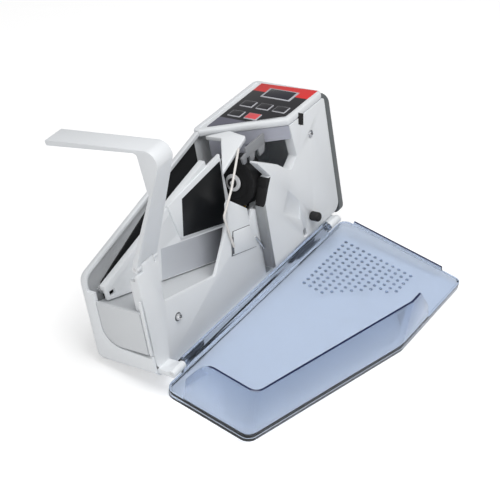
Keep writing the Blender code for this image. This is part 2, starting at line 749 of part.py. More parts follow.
def build_panel():
    """Overlay film, display window, display module, five keys and the control board below them."""
    film_low = body_height - panel_sink + set_in
    overlay = prism("key_overlay", top_outline(panel_border + seat_gap), film_low, body_height - set_in,
                    "z", black_film)
    for x, y in key_places():
        hole = prism("film_hole", rectangle(x - key_x / 2 - key_clear, y - key_y / 2 - key_clear,
                                            x + key_x / 2 + key_clear, y + key_y / 2 + key_clear),
                     film_low - overrun, body_height + overrun, "z", black_film)
        carve(overlay, hole)
    carve(overlay, prism("film_window", rectangle(*window_box(seat_gap)), film_low - overrun,
                         body_height + overrun, "z", black_film))
    window_thick = 1.5 * MM
    prism("display_window", rectangle(*window_box()), body_height - window_thick, body_height - set_in * 2,
          "z", dark_screen)
    board_top = body_height - top_cover_height + board_rise
    prism("display_module", rectangle(*window_box(-board_rise)),
          board_top + seat_gap, body_height - window_thick - seat_gap, "z", dark_screen)
    board = prism("control_board", top_outline(plastic_wall + seat_gap), board_top - board_thickness,
                  board_top, "z", board_green)
    switch_top = board_top + switch_rise
    for index, (x, y) in enumerate(key_places(), 1):
        centre = axis_empty(f"key_axis_{index}", (x, y, body_height))
        prism(f"key_{index}", rounded(rectangle(-key_x / 2, -key_y / 2, key_x / 2, key_y / 2), key_round),
              switch_top + key_travel + seat_gap - body_height, key_rise, "z",
              red_film if index == 5 else black_film, centre)
        post = prism(f"switch_{index}", rectangle(x - switch_half, y - switch_half, x + switch_half,
                                                  y + switch_half),
                     board_top - board_thickness / 2, switch_top, "z", board_green)
        carve(board, post, "UNION")


# Inner wall under the panel's diagonal, and the moulded note guide beside it
inner_wall_height = 10 * MM
inner_wall_thickness = 1.6 * MM
inner_wall_skirt = 16.5 * MM
inner_wall_skirt_length = 24 * MM
inner_wall_gap = 4 * MM


def build_inner_wall():
    """Upright wall below the panel's diagonal edge, back to the shell, that closes off the mechanism."""
    top = body_height - top_cover_height - seat_gap
    low = top - inner_wall_height
    thick = inner_wall_thickness
    start = Vector((panel_left_back + panel_heel, body_depth - shell_lip - inner_wall_gap))
    end = Vector((panel_left_front - panel_border, skirt_back + seat_gap))
    along = (end - start).normalized()
    side = Vector((-along.y, along.x)) * thick
    outline = [tuple(start), tuple(end), tuple(end + side), tuple(start + side)]
    wall = prism("inner_wall", anticlockwise(outline), low, top, "z", white_plastic)
    turn = start + along * inner_wall_skirt_length
    skirt = [tuple(start), tuple(turn), tuple(turn + side), tuple(start + side)]
    carve(wall, prism("inner_wall_skirt", anticlockwise(skirt), top - inner_wall_skirt, low + overrun, "z",
                      white_plastic), "UNION")


guide_sink = 2.4 * MM
guide_thickness = 3 * MM
guide_from_panel = 3.3 * MM
guide_ridge = panel_left_back - guide_from_panel
guide_inset = 12 * MM
guide_back = body_depth - guide_inset
guide_front = 17.1 * MM
guide_width = 12 * MM
guide_nose = 8 * MM
guide_tip_in, guide_tip_drop = 11.3 * MM, 16.3 * MM
guide_tip_y = 20.5 * MM


def build_note_guide():
    """Leads the notes' top edge to the drum: a level top whose front edge runs down to a point."""
    top = body_height - guide_sink
    corner = (guide_ridge + guide_thickness / 2, guide_back - guide_inset)
    nose = (guide_ridge + guide_nose, guide_front)
    level = [(guide_ridge, guide_back), corner, nose,
             (guide_ridge + guide_width * 0.8, guide_front + guide_thickness / 2),
             (guide_ridge + guide_width, guide_back - guide_inset)]
    tip = (cover_left - guide_tip_in, guide_tip_y, body_height - guide_tip_drop)
    bm = bmesh.new()
    drops = (0.0, guide_thickness)
    rings = [[bm.verts.new((x, y, top - drop)) for x, y in level] for drop in drops]
    tips = [bm.verts.new((tip[0], tip[1], tip[2] - drop)) for drop in drops]
    for ring, point in zip(rings, tips):
        bm.faces.new(ring)
        bm.faces.new((ring[1], point, ring[2]))
    edges = [(0, 1), (1, None), (None, 2), (2, 3), (3, 4), (4, 0)]
    for first, second in edges:
        upper = [rings[0][i] if i is not None else tips[0] for i in (first, second)]
        lower = [rings[1][i] if i is not None else tips[1] for i in (second, first)]
        bm.faces.new(upper + lower)
    return mesh_object("note_guide", bm, white_plastic)


# Press plate: swings on a pin at the roller end and pushes the notes forward
def plate_local(x):
    """Distance from the plate's pin for a place along the body."""
    return (x - plate_pivot_x) / math.cos(plate_skew)


plate_start_drop = 42.8 * MM
plate_bend_one, plate_bend_one_drop = 61 * MM, 25.8 * MM
plate_bend_two, plate_bend_two_drop = 43 * MM, 18.8 * MM
plate_horn, plate_horn_drop = 5 * MM, 6.3 * MM
plate_step_drop = 24.8 * MM
plate_face = 3 * MM
plate_floor_gap = 1 * MM
eye_low_z, eye_height = 24 * MM, 10 * MM
eye_high_drop = 40.8 * MM
pad_far, pad_far_drop, pad_far_low = 37 * MM, 17 * MM, 41.2 * MM
pad_near, pad_near_drop, pad_near_low = 1 * MM, 28 * MM, 58 * MM
pad_sink = 0.9 * MM
roll_height = 3.2 * MM
roll_depth = 2.6 * MM
spring_window_in = 2.4 * MM
spring_window = 5 * MM


def build_press_plate():
    """Sprung plate with its rolled top edge, hinge eyes, spring window and friction pad."""
    pivot = axis_empty("plate_axis", (plate_pivot_x, plate_pivot_y, 0.0), -plate_lean, -plate_skew)
    floor_gap = plate_floor_gap
    left, right = plate_local(plate_start_x), plate_local(plate_end_x)
    face_y = -plate_face
    back_y = face_y + plate_thickness
    edge = [(plate_start_x, plate_start_drop), (plate_pivot_x - plate_bend_one, plate_bend_one_drop),
            (plate_pivot_x - plate_bend_two, plate_bend_two_drop),
            (plate_pivot_x - plate_horn, plate_horn_drop)]
    edge = [(plate_local(x), body_height - drop) for x, drop in edge]
    low_points = [(left, floor_z(plate_start_x) + floor_gap, 0),
                  (right, floor_z(plate_end_x) + floor_gap, 0)]
    step_z = body_height - plate_step_drop
    top_points = [(right, step_z, floor_gap), (plate_local(plate_pivot_x - plate_horn + plate_end_lap),
                                               step_z, floor_gap),
                  (*edge[-1], 0)]
    plate = prism("press_plate", shape(low_points + top_points + [(u, v, 0) for u, v in edge[-2::-1]]),
                  face_y, back_y, "y",
                  white_plastic, pivot)
    drop = roll_height
    band = edge + [(u, v - drop) for u, v in edge[::-1]]
    carve(plate, prism("plate_roll", anticlockwise(band), back_y - overrun / 4, back_y + roll_depth, "y",
                       white_plastic, pivot), "UNION")
    bracket_low = floor_z(plate_start_x) + floor_gap
    window = prism("plate_window", rectangle(left + spring_window_in, bracket_low + spring_window_in / 2,
                                             left + spring_window_in + spring_window,
                                             bracket_low + spring_window),
                   face_y - overrun, back_y + overrun, "y", white_plastic, pivot)
    carve(plate, window)
    eye_reach = plate_thickness
    for name, z0 in (("low", eye_low_z), ("high", body_height - eye_high_drop)):
        eye = prism(f"plate_eye_{name}", rounded(rectangle(-eye_reach, back_y - overrun / 2, eye_reach,
                                                           eye_reach), eye_reach * 0.66),
                    z0, z0 + eye_height, "z", white_plastic, pivot)
        carve(plate, eye, "UNION")
    carve(plate, prism("plate_eye_hole", circle((0.0, 0.0), pin_radius + bore_play, small_sides), 0.0,
                       body_height, "z", steel, pivot))
    near, far = plate_local(plate_pivot_x - pad_near), plate_local(plate_pivot_x - pad_far)
    pad = [(far, body_height - pad_far_low, floor_gap), (near, body_height - pad_near_low, floor_gap),
           (near, body_height - pad_near_drop, floor_gap),
           (plate_local(plate_pivot_x - plate_horn - pad_near),
            body_height - plate_horn_drop - plate_thickness * 2, floor_gap),
           (far, body_height - pad_far_drop - plate_thickness * 2, floor_gap)]
    carve(plate, prism("pad_recess", shape(pad), face_y - overrun, face_y + pad_sink, "y", white_plastic,
                       pivot))
    prism("friction_pad", shape(pad, seat_gap), face_y + set_in, face_y + pad_sink - seat_gap, "y",
          black_rubber, pivot)
    build_plate_pin_and_spring()
    return plate


carrier_front = 3.2 * MM
carrier_depth = 3.8 * MM
carrier_lug = 4 * MM
carrier_drop = 42.8 * MM
spring_x = 9 * MM
spring_rise = 3.8 * MM
spring_z = floor_left_z + spring_rise
spring_radius = 2.1 * MM
spring_wire = 0.35 * MM
spring_length = 6.5 * MM
spring_seat = 3.4 * MM


def build_plate_pin_and_spring():
    """Hinge pin with its carrier, and the coil spring behind the plate's free end."""
    pin_low, pin_high = floor_right_z + pin_radius * 4, body_height - plate_step_drop
    frame = axis_empty("plate_pin_frame", (plate_pivot_x, plate_pivot_y, 0.0), -plate_lean, -plate_skew)
    turned("plate_pin", [(pin_low, pin_radius), (pin_high, pin_radius)], "z", (0.0, 0.0, 0.0), steel, frame,
           sides=small_sides)
    half = sensor_radius
    foot = floor_z(plate_pivot_x - half) + seat_gap * 2
    top = body_height - carrier_drop
    carrier = prism("plate_carrier", rectangle(-half, carrier_front, half, carrier_front + carrier_depth),
                    foot, top, "z",
                    white_plastic, frame)
    for name, z0 in (("low", eye_low_z + eye_height + overrun), ("high", top - carrier_lug)):
        lug = prism(f"carrier_lug_{name}", rectangle(-half, -seat_gap / 2, half, carrier_front + overrun),
                    z0, z0 + carrier_lug, "z",
                    white_plastic, frame)
        carve(carrier, lug, "UNION")
    carve(carrier, prism("carrier_hole", circle((0.0, 0.0), pin_radius + bore_play, small_sides), 0.0,
                         body_height, "z", steel, frame))
    turn_steps, turn_count = 10, 5
    start = plate_pivot_y + math.sin(plate_skew) * (plate_pivot_x - spring_x) + spring_seat
    end = start + spring_length
    points = [(spring_x + spring_radius * math.cos(math.tau * i / turn_steps),
               start + (end - start) * i / (turn_count * turn_steps),
               spring_z + spring_radius * math.sin(math.tau * i / turn_steps))
              for i in range(turn_count * turn_steps + 1)]
    swept("plate_spring", points, spring_wire, steel)


# Feed mechanism: rubber drum on the end of a shaft laid along the floor's slope, driven by a belt
tread_edge = 1.5 * MM
pulley_radius = 6.5 * MM
pulley_step = 1.2 * MM
pulley_flange = 1.0 * MM
pulley_height = 5 * MM
motor_drop = 26 * MM
motor_back = 7 * MM
motor_radius = 11.5 * MM
motor_length = 30 * MM
motor_pulley_radius = 4.0 * MM
belt_thickness = 0.8 * MM
belt_slack = 0.25 * MM
bore_play = 0.1 * MM
arm_thick = 3 * MM
tip_radius = 1.0 * MM
boss_radius = 4.5 * MM
boss_length = 7 * MM
plate_margin = 7 * MM
seat_bore = 3 * MM
washer_radius = 6 * MM
washer_thickness = 1.2 * MM
end_screw_radius = 3 * MM
end_screw_height = 1.4 * MM
sensor_radius = 2.2 * MM
sensor_from_cover = 22 * MM
sensor_drop = 58.8 * MM


def tilted_empty(name, down, back):
    """An empty in the mechanism's own axes: Z along the drum's shaft, X down square to it, Y back."""
    empty = axis_empty(name, (roller_x - down * math.sin(roller_tilt), roller_y + back,
                              roller_z - down * math.cos(roller_tilt)))
    empty.rotation_euler = (0.0, math.pi / 2 + roller_tilt, 0.0)
    return empty


def build_mechanism():
    """Drum with its washer and screw, shaft, two pulleys, belt, bearing plate, motor and note sensor."""
    axle = tilted_empty("roller_axis", 0.0, 0.0)
    rim = roller_radius * 0.92
    profile = [(-roller_half, rim), (-roller_half + tread_edge, roller_radius),
               (roller_half - tread_edge, roller_radius), (roller_half, rim)]
    roller = turned("feed_roller", profile, "z", (0.0, 0.0, 0.0), black_rubber, axle)
    fit = shaft_radius + seat_gap / 3
    carve(roller, turned("roller_bore", [(-roller_half - overrun, fit), (roller_half + overrun, fit)], "z",
                         (0.0, 0.0, 0.0), steel, axle, sides=small_sides))
    pulley_low = roller_half + seat_gap * 2
    plate_low = pulley_low + pulley_height + seat_gap * 2
    shaft_end = plate_low + arm_thick + boss_length
    turned("roller_shaft", [(-roller_half, shaft_radius), (shaft_end, shaft_radius)], "z",
           (0.0, 0.0, 0.0), steel, axle, sides=small_sides)
    washer_back = -roller_half - seat_gap / 2
    turned("retaining_washer", [(washer_back - washer_thickness, washer_radius - washer_thickness / 3),
                                (washer_back - washer_thickness / 2, washer_radius),
                                (washer_back, washer_radius)], "z", (0.0, 0.0, 0.0), steel, axle,
           sides=round_sides)
    screw_back = washer_back - washer_thickness - seat_gap / 3
    turned("roller_screw", [(screw_back - end_screw_height, end_screw_radius * 0.8),
                            (screw_back - end_screw_height / 2, end_screw_radius),
                            (screw_back, end_screw_radius)], "z", (0.0, 0.0, 0.0), steel, axle,
           sides=small_sides)
    wheel = turned("roller_pulley", pulley_profile(pulley_low, pulley_radius), "z", (0.0, 0.0, 0.0),
                   white_plastic, axle, sides=small_sides)
    pulley_high = pulley_low + pulley_height
    carve(wheel, turned("pulley_bore", [(pulley_low - overrun, fit), (pulley_high + overrun, fit)], "z",
                        (0.0, 0.0, 0.0), steel, axle, sides=small_sides))
    spindle = tilted_empty("motor_axis", motor_drop, motor_back)
    drive = turned("motor_pulley", pulley_profile(pulley_low, motor_pulley_radius), "z", (0.0, 0.0, 0.0),
                   brass, spindle, sides=small_sides)
    bore = tip_radius + seat_gap / 3
    carve(drive, turned("drive_bore", [(pulley_low - overrun, bore), (pulley_high + overrun, bore)], "z",
                        (0.0, 0.0, 0.0), steel, spindle, sides=small_sides))
    base = tilted_empty("mechanism_frame", 0.0, 0.0)
    motor_low = plate_low + arm_thick + seat_gap
    turned("drive_motor", [(pulley_low, tip_radius), (motor_low - bore_play, tip_radius),
                           (motor_low, motor_radius), (motor_low + motor_length, motor_radius)], "z",
           (motor_drop, motor_back, 0.0), steel, base)
    build_belt(pulley_low, base)
    build_bracket(plate_low, base)
    eye_y = recess_y + plastic_wall + seat_gap
    turned("sensor_eye", [(0.0, sensor_radius), (2 * sensor_radius, sensor_radius)], "y",
           (cover_left - sensor_from_cover, eye_y, body_height - sensor_drop), grey_plastic,
           sides=small_sides)


def pulley_profile(low, radius):
    """Half section of a belt pulley: two flanges with a groove between them."""
    flange, groove = pulley_flange, radius - pulley_step
    return [(low, radius), (low + flange, radius), (low + flange * 1.3, groove),
            (low + pulley_height - flange * 1.3, groove), (low + pulley_height - flange, radius),
            (low + pulley_height, radius)]


def build_belt(low, base):
    """Flat drive belt in the two pulleys' grooves: outer and inner stadium outlines."""
    centre_a, centre_b = Vector((0.0, 0.0)), Vector((motor_drop, motor_back))
    span = centre_b - centre_a
    heading = math.atan2(span.y, span.x)
    bm = bmesh.new()
    wrap_steps = 8
    z0, z1 = low + pulley_height * 0.34, low + pulley_height * 0.66
    loops = []
    for grow in (belt_slack, belt_slack + belt_thickness):
        ra, rb = pulley_radius - pulley_step + grow, motor_pulley_radius - pulley_step + grow
        tilt = math.acos((ra - rb) / span.length)
        outline = []
        for i in range(wrap_steps + 1):
            angle = heading + tilt + (math.tau - 2 * tilt) * i / wrap_steps
            outline.append(centre_a + Vector((math.cos(angle), math.sin(angle))) * ra)
        for i in range(wrap_steps + 1):
            angle = heading - tilt + 2 * tilt * i / wrap_steps
            outline.append(centre_b + Vector((math.cos(angle), math.sin(angle))) * rb)
        loops.append(outline)
    rings = [[bm.verts.new((p.x, p.y, z)) for p in loop] for loop in loops for z in (z0, z1)]
    count = len(rings[0])
    for first, second in ((0, 1), (1, 3), (3, 2), (2, 0)):
        for i in range(count):
            j = (i + 1) % count
            bm.faces.new((rings[first][i], rings[first][j], rings[second][j], rings[second][i]))
    return mesh_object("drive_belt", bm, black_rubber, base)


def build_bracket(low, base):
    """Moulded bearing plate screwed to the shell's back: the shaft's boss, motor seat and rear flange."""
    back = body_depth - shell_wall - seat_gap - roller_y
    high = low + arm_thick
    step_down, step_back = motor_drop * 0.7, motor_back + motor_radius
    outline = shape([(-plate_margin, -plate_margin, plate_margin),
                     (motor_drop + plate_margin, -plate_margin, plate_margin),
                     (motor_drop + plate_margin, step_back, 0), (step_down, step_back, 0),
                     (step_down, back, 0), (-plate_margin, back, 0)])
    bracket = prism("bearing_bracket", outline, low, high, "z", white_plastic, base)
    boss = [(high - overrun / 2, boss_radius), (high + boss_length, boss_radius)]
    carve(bracket, turned("bracket_boss", boss, "z", (0.0, 0.0, 0.0), white_plastic, base,
                          sides=round_sides), "UNION")
    flange = prism("bracket_flange", rectangle(-plate_margin, back - arm_thick, motor_drop / 2, back),
                   high - overrun / 2, high + boss_length, "z", white_plastic, base)
    carve(bracket, flange, "UNION")
    fit = shaft_radius + bore_play
    carve(bracket, turned("bracket_bore", [(low - overrun, fit), (high + boss_length + overrun, fit)],
                          "z", (0.0, 0.0, 0.0), steel, base, sides=small_sides))
    carve(bracket, turned("seat_bore", [(low - overrun, seat_bore), (high + overrun, seat_bore)],
                          "z", (motor_drop, motor_back, 0.0), steel, base, sides=small_sides))
    return bracket


# Guide wire: bent spring steel in front of the roller
def build_guide_wire():
    """Wire from the guide's hook, down past the roller to a bend, and back into its groove in the wall."""
    y = recess_y - seat_gap - wire_radius
    path = [(cover_left - inward, place, body_height - drop) for inward, place, drop in
            ((hook_in, guide_front, hook_drop), (wire_mid_in, y, wire_mid_drop), (elbow_in, y, elbow_drop),
             (elbow_in + wire_radius * 0.6, y, elbow_drop + 2 * wire_radius), (shank_in, y, shank_drop),
             (tail_in, y, tail_drop))]
    swept("guide_wire", path, wire_radius, steel, sides=8)


wire_radius = 0.85 * MM
hook_in, hook_drop = -5.7 * MM, 6.6 * MM
wire_mid_in, wire_mid_drop = 22.5 * MM, 19.7 * MM
elbow_in, elbow_drop = 34.2 * MM, 32.8 * MM
shank_in, shank_drop = 33.2 * MM, 44.6 * MM
tail_in, tail_drop = 30.4 * MM, 59.4 * MM


# Note arm: cranked strap on a pin at the post's top, with its long finger over the hopper
arm_gusset = 15 * MM
arm_bend = 8 * MM
arm_tip_round = 1 * MM
arm_foot_round = 1.5 * MM
arm_foot_drop = 0.6 * MM
fork_half = 6 * MM
taper_end = 19 * MM


def arm_outline():
    """Side view of the strap: pivot foot, forward-leaning strip, rounded outer bend and level finger."""
    up = Vector((-math.sin(arm_lean), math.cos(arm_lean)))
    out = Vector((-math.cos(arm_lean), -math.sin(arm_lean)))
    foot = Vector((0.0, 0.0))
    top_outer = up * arm_strip_length + out * arm_thickness
    top_inner = up * (arm_strip_length - arm_thickness) + out * 0.0
    finger = Vector((1.0, 0.02))
    tip = top_outer + finger * arm_reach
    taper = arm_thickness * 1.15
    low_tip = tip + Vector((0.0, -taper))
    inner = top_inner
    points = [(foot + out * arm_thickness - up * arm_foot_drop, arm_foot_round), (top_outer, arm_bend),
              (tip, arm_tip_round),
              (low_tip, arm_tip_round), (inner + finger * arm_gusset, arm_bend / 2),
              (inner - up * arm_gusset, arm_bend / 2),
              (foot - up * arm_foot_drop, arm_foot_round)]
    return anticlockwise(rounded([(p.x, p.y, r) for p, r in points], 0.0))


def build_note_arm():
    """L-shaped arm: bent strap with a thickened pivot foot and bored eye."""
    pivot = axis_empty("arm_axis", (0.0, arm_pivot_y, arm_pivot_z))
    shift = arm_thickness / 2
    outline = [(u + shift * math.cos(arm_lean), v + shift * math.sin(arm_lean)) for u, v in arm_outline()]
    arm = prism("note_arm", outline, arm_left_low, arm_right_x, "x", white_plastic, pivot)
    eye = prism("arm_eye", circle((0.0, 0.0), lug_round, small_sides), arm_left_low, arm_right_x, "x",
                white_plastic, pivot)
    carve(arm, eye, "UNION")
    bore = prism("arm_bore", circle((0.0, 0.0), pin_radius + bore_play, small_sides), arm_left_low - overrun,
                 arm_right_x + overrun, "x", steel, pivot)
    carve(arm, bore)
    fork = prism("arm_fork", rectangle(-fork_half, -lug_foot, fork_half, arm_thickness),
                 lug_left - seat_gap, lug_right + seat_gap, "x",
                 white_plastic, pivot)
    carve(arm, fork)
    beyond = arm_strip_length + overrun
    taper = prism("arm_taper", anticlockwise([(arm_left_low - overrun, fork_half), (arm_left_low, fork_half),
                                              (arm_left_high, arm_strip_length - taper_end),
                                              (arm_left_high, beyond),
                                              (arm_left_low - overrun, beyond)]),
                  -beyond, arm_reach, "y", white_plastic, pivot)
    carve(arm, taper)
    turned("arm_pin", [(arm_left_low + bore_play, pin_radius), (arm_right_x - bore_play, pin_radius)], "x",
           (0.0, arm_pivot_y, arm_pivot_z), steel, sides=small_sides)
    return arm


# Cover tray: the translucent fold-down cover, drawn flat from its hinge
pocket_rise = 46 * MM
pocket_foot = 24 * MM
pocket_start = 14 * MM
pocket_ramp = 18 * MM
rim_rise = 5.4 * MM
right_rise = 8.6 * MM
strip_rise = 3.4 * MM
strip_lean = 2.2 * MM
strip_knee = -3.0 * MM
near_corner = 7 * MM
left_corner = 8 * MM
flat_corner = 10 * MM
right_corner = 5 * MM
pocket_end_in = 70.8 * MM
pocket_slope = 25 * MM
pocket_end_top = body_length - pocket_end_in
pocket_end_low = pocket_end_top + pocket_slope
ear_width = 3.2 * MM
hinge_foot_back = 13 * MM
hinge_foot_gap = 1.4 * MM


def tray_points():
    """Plan corners of the tray, x along the hinge and v away from it, with their radii."""
    left, right = tray_left, tray_right
    return [(left, -tray_wall / 2, near_corner), (left, tray_left_reach, left_corner),
            (tray_flat_start, tray_full_reach, flat_corner), (right, tray_full_reach, right_corner),
            (right, -tray_wall / 2, near_corner)]


def tray_outline(shrink=0.0):
    """Plan of the tray in its own flat axes, where the local Y runs back towards the hinge."""
    return shape([(x, -v, r) for x, v, r in tray_points()], shrink)


def wall_band(path, tops, low, thickness):
    """A standing wall along a plan path, of a set height at each point, drawn inside the path."""
    bm = bmesh.new()
    inner = []
    for i, point in enumerate(path):
        here = Vector(point)
        before = Vector(path[i - 1]) if i else None
        after = Vector(path[i + 1]) if i + 1 < len(path) else None
        steps = [(here - before).normalized()] if before is not None else []
        steps += [(after - here).normalized()] if after is not None else []
        normals = [Vector((-s.y, s.x)) for s in steps]
        middle = sum(normals, Vector((0.0, 0.0))).normalized()
        inner.append(here + middle * thickness / max(middle.dot(normals[0]), 0.4))
    columns = []
    for outer_point, inner_point, top in zip(path, inner, tops):
        columns.append([bm.verts.new((outer_point[0], outer_point[1], low)),
                        bm.verts.new((outer_point[0], outer_point[1], top)),
                        bm.verts.new((inner_point.x, inner_point.y, top)),
                        bm.verts.new((inner_point.x, inner_point.y, low))])
    for first, second in zip(columns, columns[1:]):
        for i in range(4):
            j = (i + 1) % 4
            bm.faces.new((first[i], first[j], second[j], second[i]))
    bm.faces.new(columns[0][::-1])
    bm.faces.new(columns[-1])
    return bm


def pocket_path():
    """Plan path and top heights of the tall pocket wall, round the corner to its slanted end."""
    low = -tray_depth
    top = low + pocket_rise
    left = tray_left + set_in
    outline = tray_outline(set_in)
    ramp_steps = 5
    side = [(left, -pocket_start - pocket_ramp * i / ramp_steps,
             low + pocket_foot + (pocket_rise - pocket_foot) * math.sin(math.pi / 2 * i / ramp_steps))
            for i in range(ramp_steps + 1)]
    round_part = [(x, y, top) for x,
                  y in outline if y < -tray_left_reach * 0.8 and x < tray_flat_start + overrun]
    round_part.sort(key=lambda p: p[0] - p[1] * 0.2)
    flat_v = -tray_full_reach + set_in
    end = [(pocket_end_top, flat_v, top), (pocket_end_low - pocket_slope / 4, flat_v,
                                           low + pocket_rise * 0.46),
           (pocket_end_low, flat_v, low + rim_rise)]
    points = side + round_part + end
    return [(x, y) for x, y, _ in points], [z for _, _, z in points]


def build_tray():
    """Cover tray: floor, low rim, taller right wall, tall pocket wall, lifted corner and the hinge strip."""
    hinge = axis_empty("tray_axis", (0.0, hinge_y, hinge_z), turn_x=tray_tilt)
    low = -tray_depth
    tray = prism("cover_tray", tray_outline(), low, low + rim_rise, "z", tray_plastic, hinge)
    hollow = prism("tray_hollow", tray_outline(tray_wall), low + tray_wall, low + rim_rise + overrun, "z",
                   tray_plastic, hinge)
    carve(tray, hollow)
    path, tops = pocket_path()
    pocket = mesh_object("tray_pocket", wall_band(path, tops, low + tray_wall / 2, tray_wall - 2 * set_in),
                         tray_plastic, hinge)
    carve(tray, pocket, "UNION")
    right = tray_right
    side_end, side_start = -tray_full_reach + flat_corner + right_corner, -near_corner - tray_wall
    side = prism("tray_side", [(side_end, low + tray_wall / 2), (side_start, low + tray_wall / 2),
                               (side_start, low + right_rise),
                               (side_end + tray_wall, low + right_rise)],
                 right - tray_wall + set_in, right - set_in, "x", tray_plastic, hinge)
    carve(tray, side, "UNION")
    inside, outside = -tray_wall / 2 + set_in, tray_wall / 2 - set_in
    gap = seat_gap * 1.3
    start, end = knuckle_left[1] + gap, knuckle_right[0] - gap
    strip = prism("tray_strip", [(inside, low + tray_wall / 2), (outside, low + tray_wall / 2),
                                 (outside, strip_knee),
                                 (outside + strip_lean, strip_rise), (inside + strip_lean, strip_rise),
                                 (inside, strip_knee)],
                  start, end, "x", tray_plastic, hinge)
    carve(tray, strip, "UNION")
    for name, low_x, high_x in (("left", start, start + ear_width), ("right", end - ear_width, end)):
        ear = prism(f"strip_ear_{name}", circle((0.0, 0.0), knuckle_radius, small_sides), low_x, high_x,
                    "x", tray_plastic, hinge)
        carve(tray, ear, "UNION")
        hole = prism(f"ear_bore_{name}", circle((0.0, 0.0), pin_radius + bore_play, small_sides),
                     low_x - gap, high_x + gap,
                     "x", tray_plastic, hinge)
        carve(tray, hole)
    for name, low_x, high_x in (("left", knuckle_left[0], start + ear_width),
                                ("right", end - ear_width, knuckle_right[1])):
        prism(f"hinge_pin_{name}", circle((0.0, 0.0), pin_radius, small_sides), low_x + bore_play,
              high_x - bore_play, "x",
              steel, hinge)
    return tray


def build_lower_bracket():
    """Right hinge knuckle on its own foot under the front cover."""
    low, high = knuckle_right
    barrel = [(hinge_y + knuckle_radius * math.cos(a), hinge_z + knuckle_radius * math.sin(a))
              for a in [math.radians(60 + 240 * i / 12) for i in range(13)]]
    foot_back, foot_low, foot_high = hinge_foot_back, shell_wall + seat_gap, cover_bottom - hinge_foot_gap
    web = [(foot_back, foot_low), (foot_back, foot_high), (hinge_y + knuckle_radius, foot_high)]
    knuckle = prism("right_knuckle", anticlockwise(barrel + web), low, high, "x", white_plastic)
    bore = turned("right_knuckle_bore", [(low - overrun, pin_radius + bore_play),
                                         (high + overrun, pin_radius + bore_play)], "x",
                  (0.0, hinge_y, hinge_z), steel, sides=small_sides)
    carve(knuckle, bore)
    return knuckle


# Feet: two tall wedges at the front and two thin pads at the back, all cut level with the ground
foot_length = 22 * MM
foot_depth = 12 * MM
foot_inset = 27 * MM
front_foot_y = 6 * MM
rear_foot_y = 42 * MM


def ground_height():
    """Lowest reach of the open tray up the leaning body's true vertical, less a little clearance."""
    edge = Vector((-tray_full_reach, -tray_depth))
    y = hinge_y + edge.x * math.cos(tray_tilt) - edge.y * math.sin(tray_tilt)
    z = hinge_z + edge.x * math.sin(tray_tilt) + edge.y * math.cos(tray_tilt)
    return -y * math.sin(lean_angle) + z * math.cos(lean_angle) - ground_clearance


def build_feet():
    """Rubber feet, each a prism from the shell's underside to the level ground."""
    ground = ground_height()

    def ground_z(y):
        return (ground + y * math.sin(lean_angle)) / math.cos(lean_angle)

    for row, y in (("front", front_foot_y), ("rear", rear_foot_y)):
        for side, left in (("left", foot_inset), ("right", body_length - foot_inset - foot_length)):
            outline = [(y, ground_z(y)), (y + foot_depth, ground_z(y + foot_depth)),
                       (y + foot_depth, -seat_gap), (y, -seat_gap)]
            prism(f"foot_{row}_{side}", anticlockwise(outline), left, left + foot_length, "x", black_rubber)


def settle_on_floor():
    """Put the finished model's box centre over the origin, with its lowest face at zero."""
    bpy.context.view_layer.update()
    graph = bpy.context.evaluated_depsgraph_get()
    low = Vector((math.inf,) * 3)
    high = Vector((-math.inf,) * 3)
    for obj in bpy.data.objects:
        if obj.type not in {"MESH", "CURVE"} or obj.hide_render:
            continue
        shown = obj.evaluated_get(graph)
        mesh = shown.to_mesh()
        for vertex in mesh.vertices:
            place = obj.matrix_world @ vertex.co
            low = Vector(map(min, low, place))
            high = Vector(map(max, high, place))
        shown.to_mesh_clear()
    body_frame.location = (-(low.x + high.x) / 2, -(low.y + high.y) / 2, -low.z)
    bpy.context.view_layer.update()


build_rear_shell()
build_power()
build_hopper_frame()
build_front_housing()
build_front_cover()
build_front_fittings()
build_top_cover()
build_panel()
build_inner_wall()
build_note_guide()
build_press_plate()
build_mechanism()
build_guide_wire()
build_note_arm()
build_tray()
build_lower_bracket()
build_feet()
for item in bpy.data.objects:
    smooth(item)
settle_on_floor()
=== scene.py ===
import json
import math

import bpy
from mathutils import Matrix, Vector
from mathutils.bvhtree import BVHTree


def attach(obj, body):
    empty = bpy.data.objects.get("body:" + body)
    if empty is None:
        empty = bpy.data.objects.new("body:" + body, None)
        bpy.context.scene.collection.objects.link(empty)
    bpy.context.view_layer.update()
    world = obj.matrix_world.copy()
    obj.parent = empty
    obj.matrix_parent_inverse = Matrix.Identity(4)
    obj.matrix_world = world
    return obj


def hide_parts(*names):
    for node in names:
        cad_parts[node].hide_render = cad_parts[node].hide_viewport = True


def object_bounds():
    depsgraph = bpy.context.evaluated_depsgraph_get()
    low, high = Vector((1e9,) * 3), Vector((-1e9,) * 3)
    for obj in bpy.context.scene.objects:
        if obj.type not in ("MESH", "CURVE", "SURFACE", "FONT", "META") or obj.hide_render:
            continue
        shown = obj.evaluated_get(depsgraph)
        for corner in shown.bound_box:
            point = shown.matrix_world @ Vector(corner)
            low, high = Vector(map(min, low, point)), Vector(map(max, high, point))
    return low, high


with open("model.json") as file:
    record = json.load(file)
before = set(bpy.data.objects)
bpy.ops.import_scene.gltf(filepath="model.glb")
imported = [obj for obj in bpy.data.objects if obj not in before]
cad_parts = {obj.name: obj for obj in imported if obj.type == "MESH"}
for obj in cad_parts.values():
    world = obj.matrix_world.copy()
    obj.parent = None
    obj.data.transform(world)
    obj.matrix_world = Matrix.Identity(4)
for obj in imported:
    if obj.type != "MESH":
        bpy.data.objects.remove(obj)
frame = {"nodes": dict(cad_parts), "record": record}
cad_low, cad_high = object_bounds()


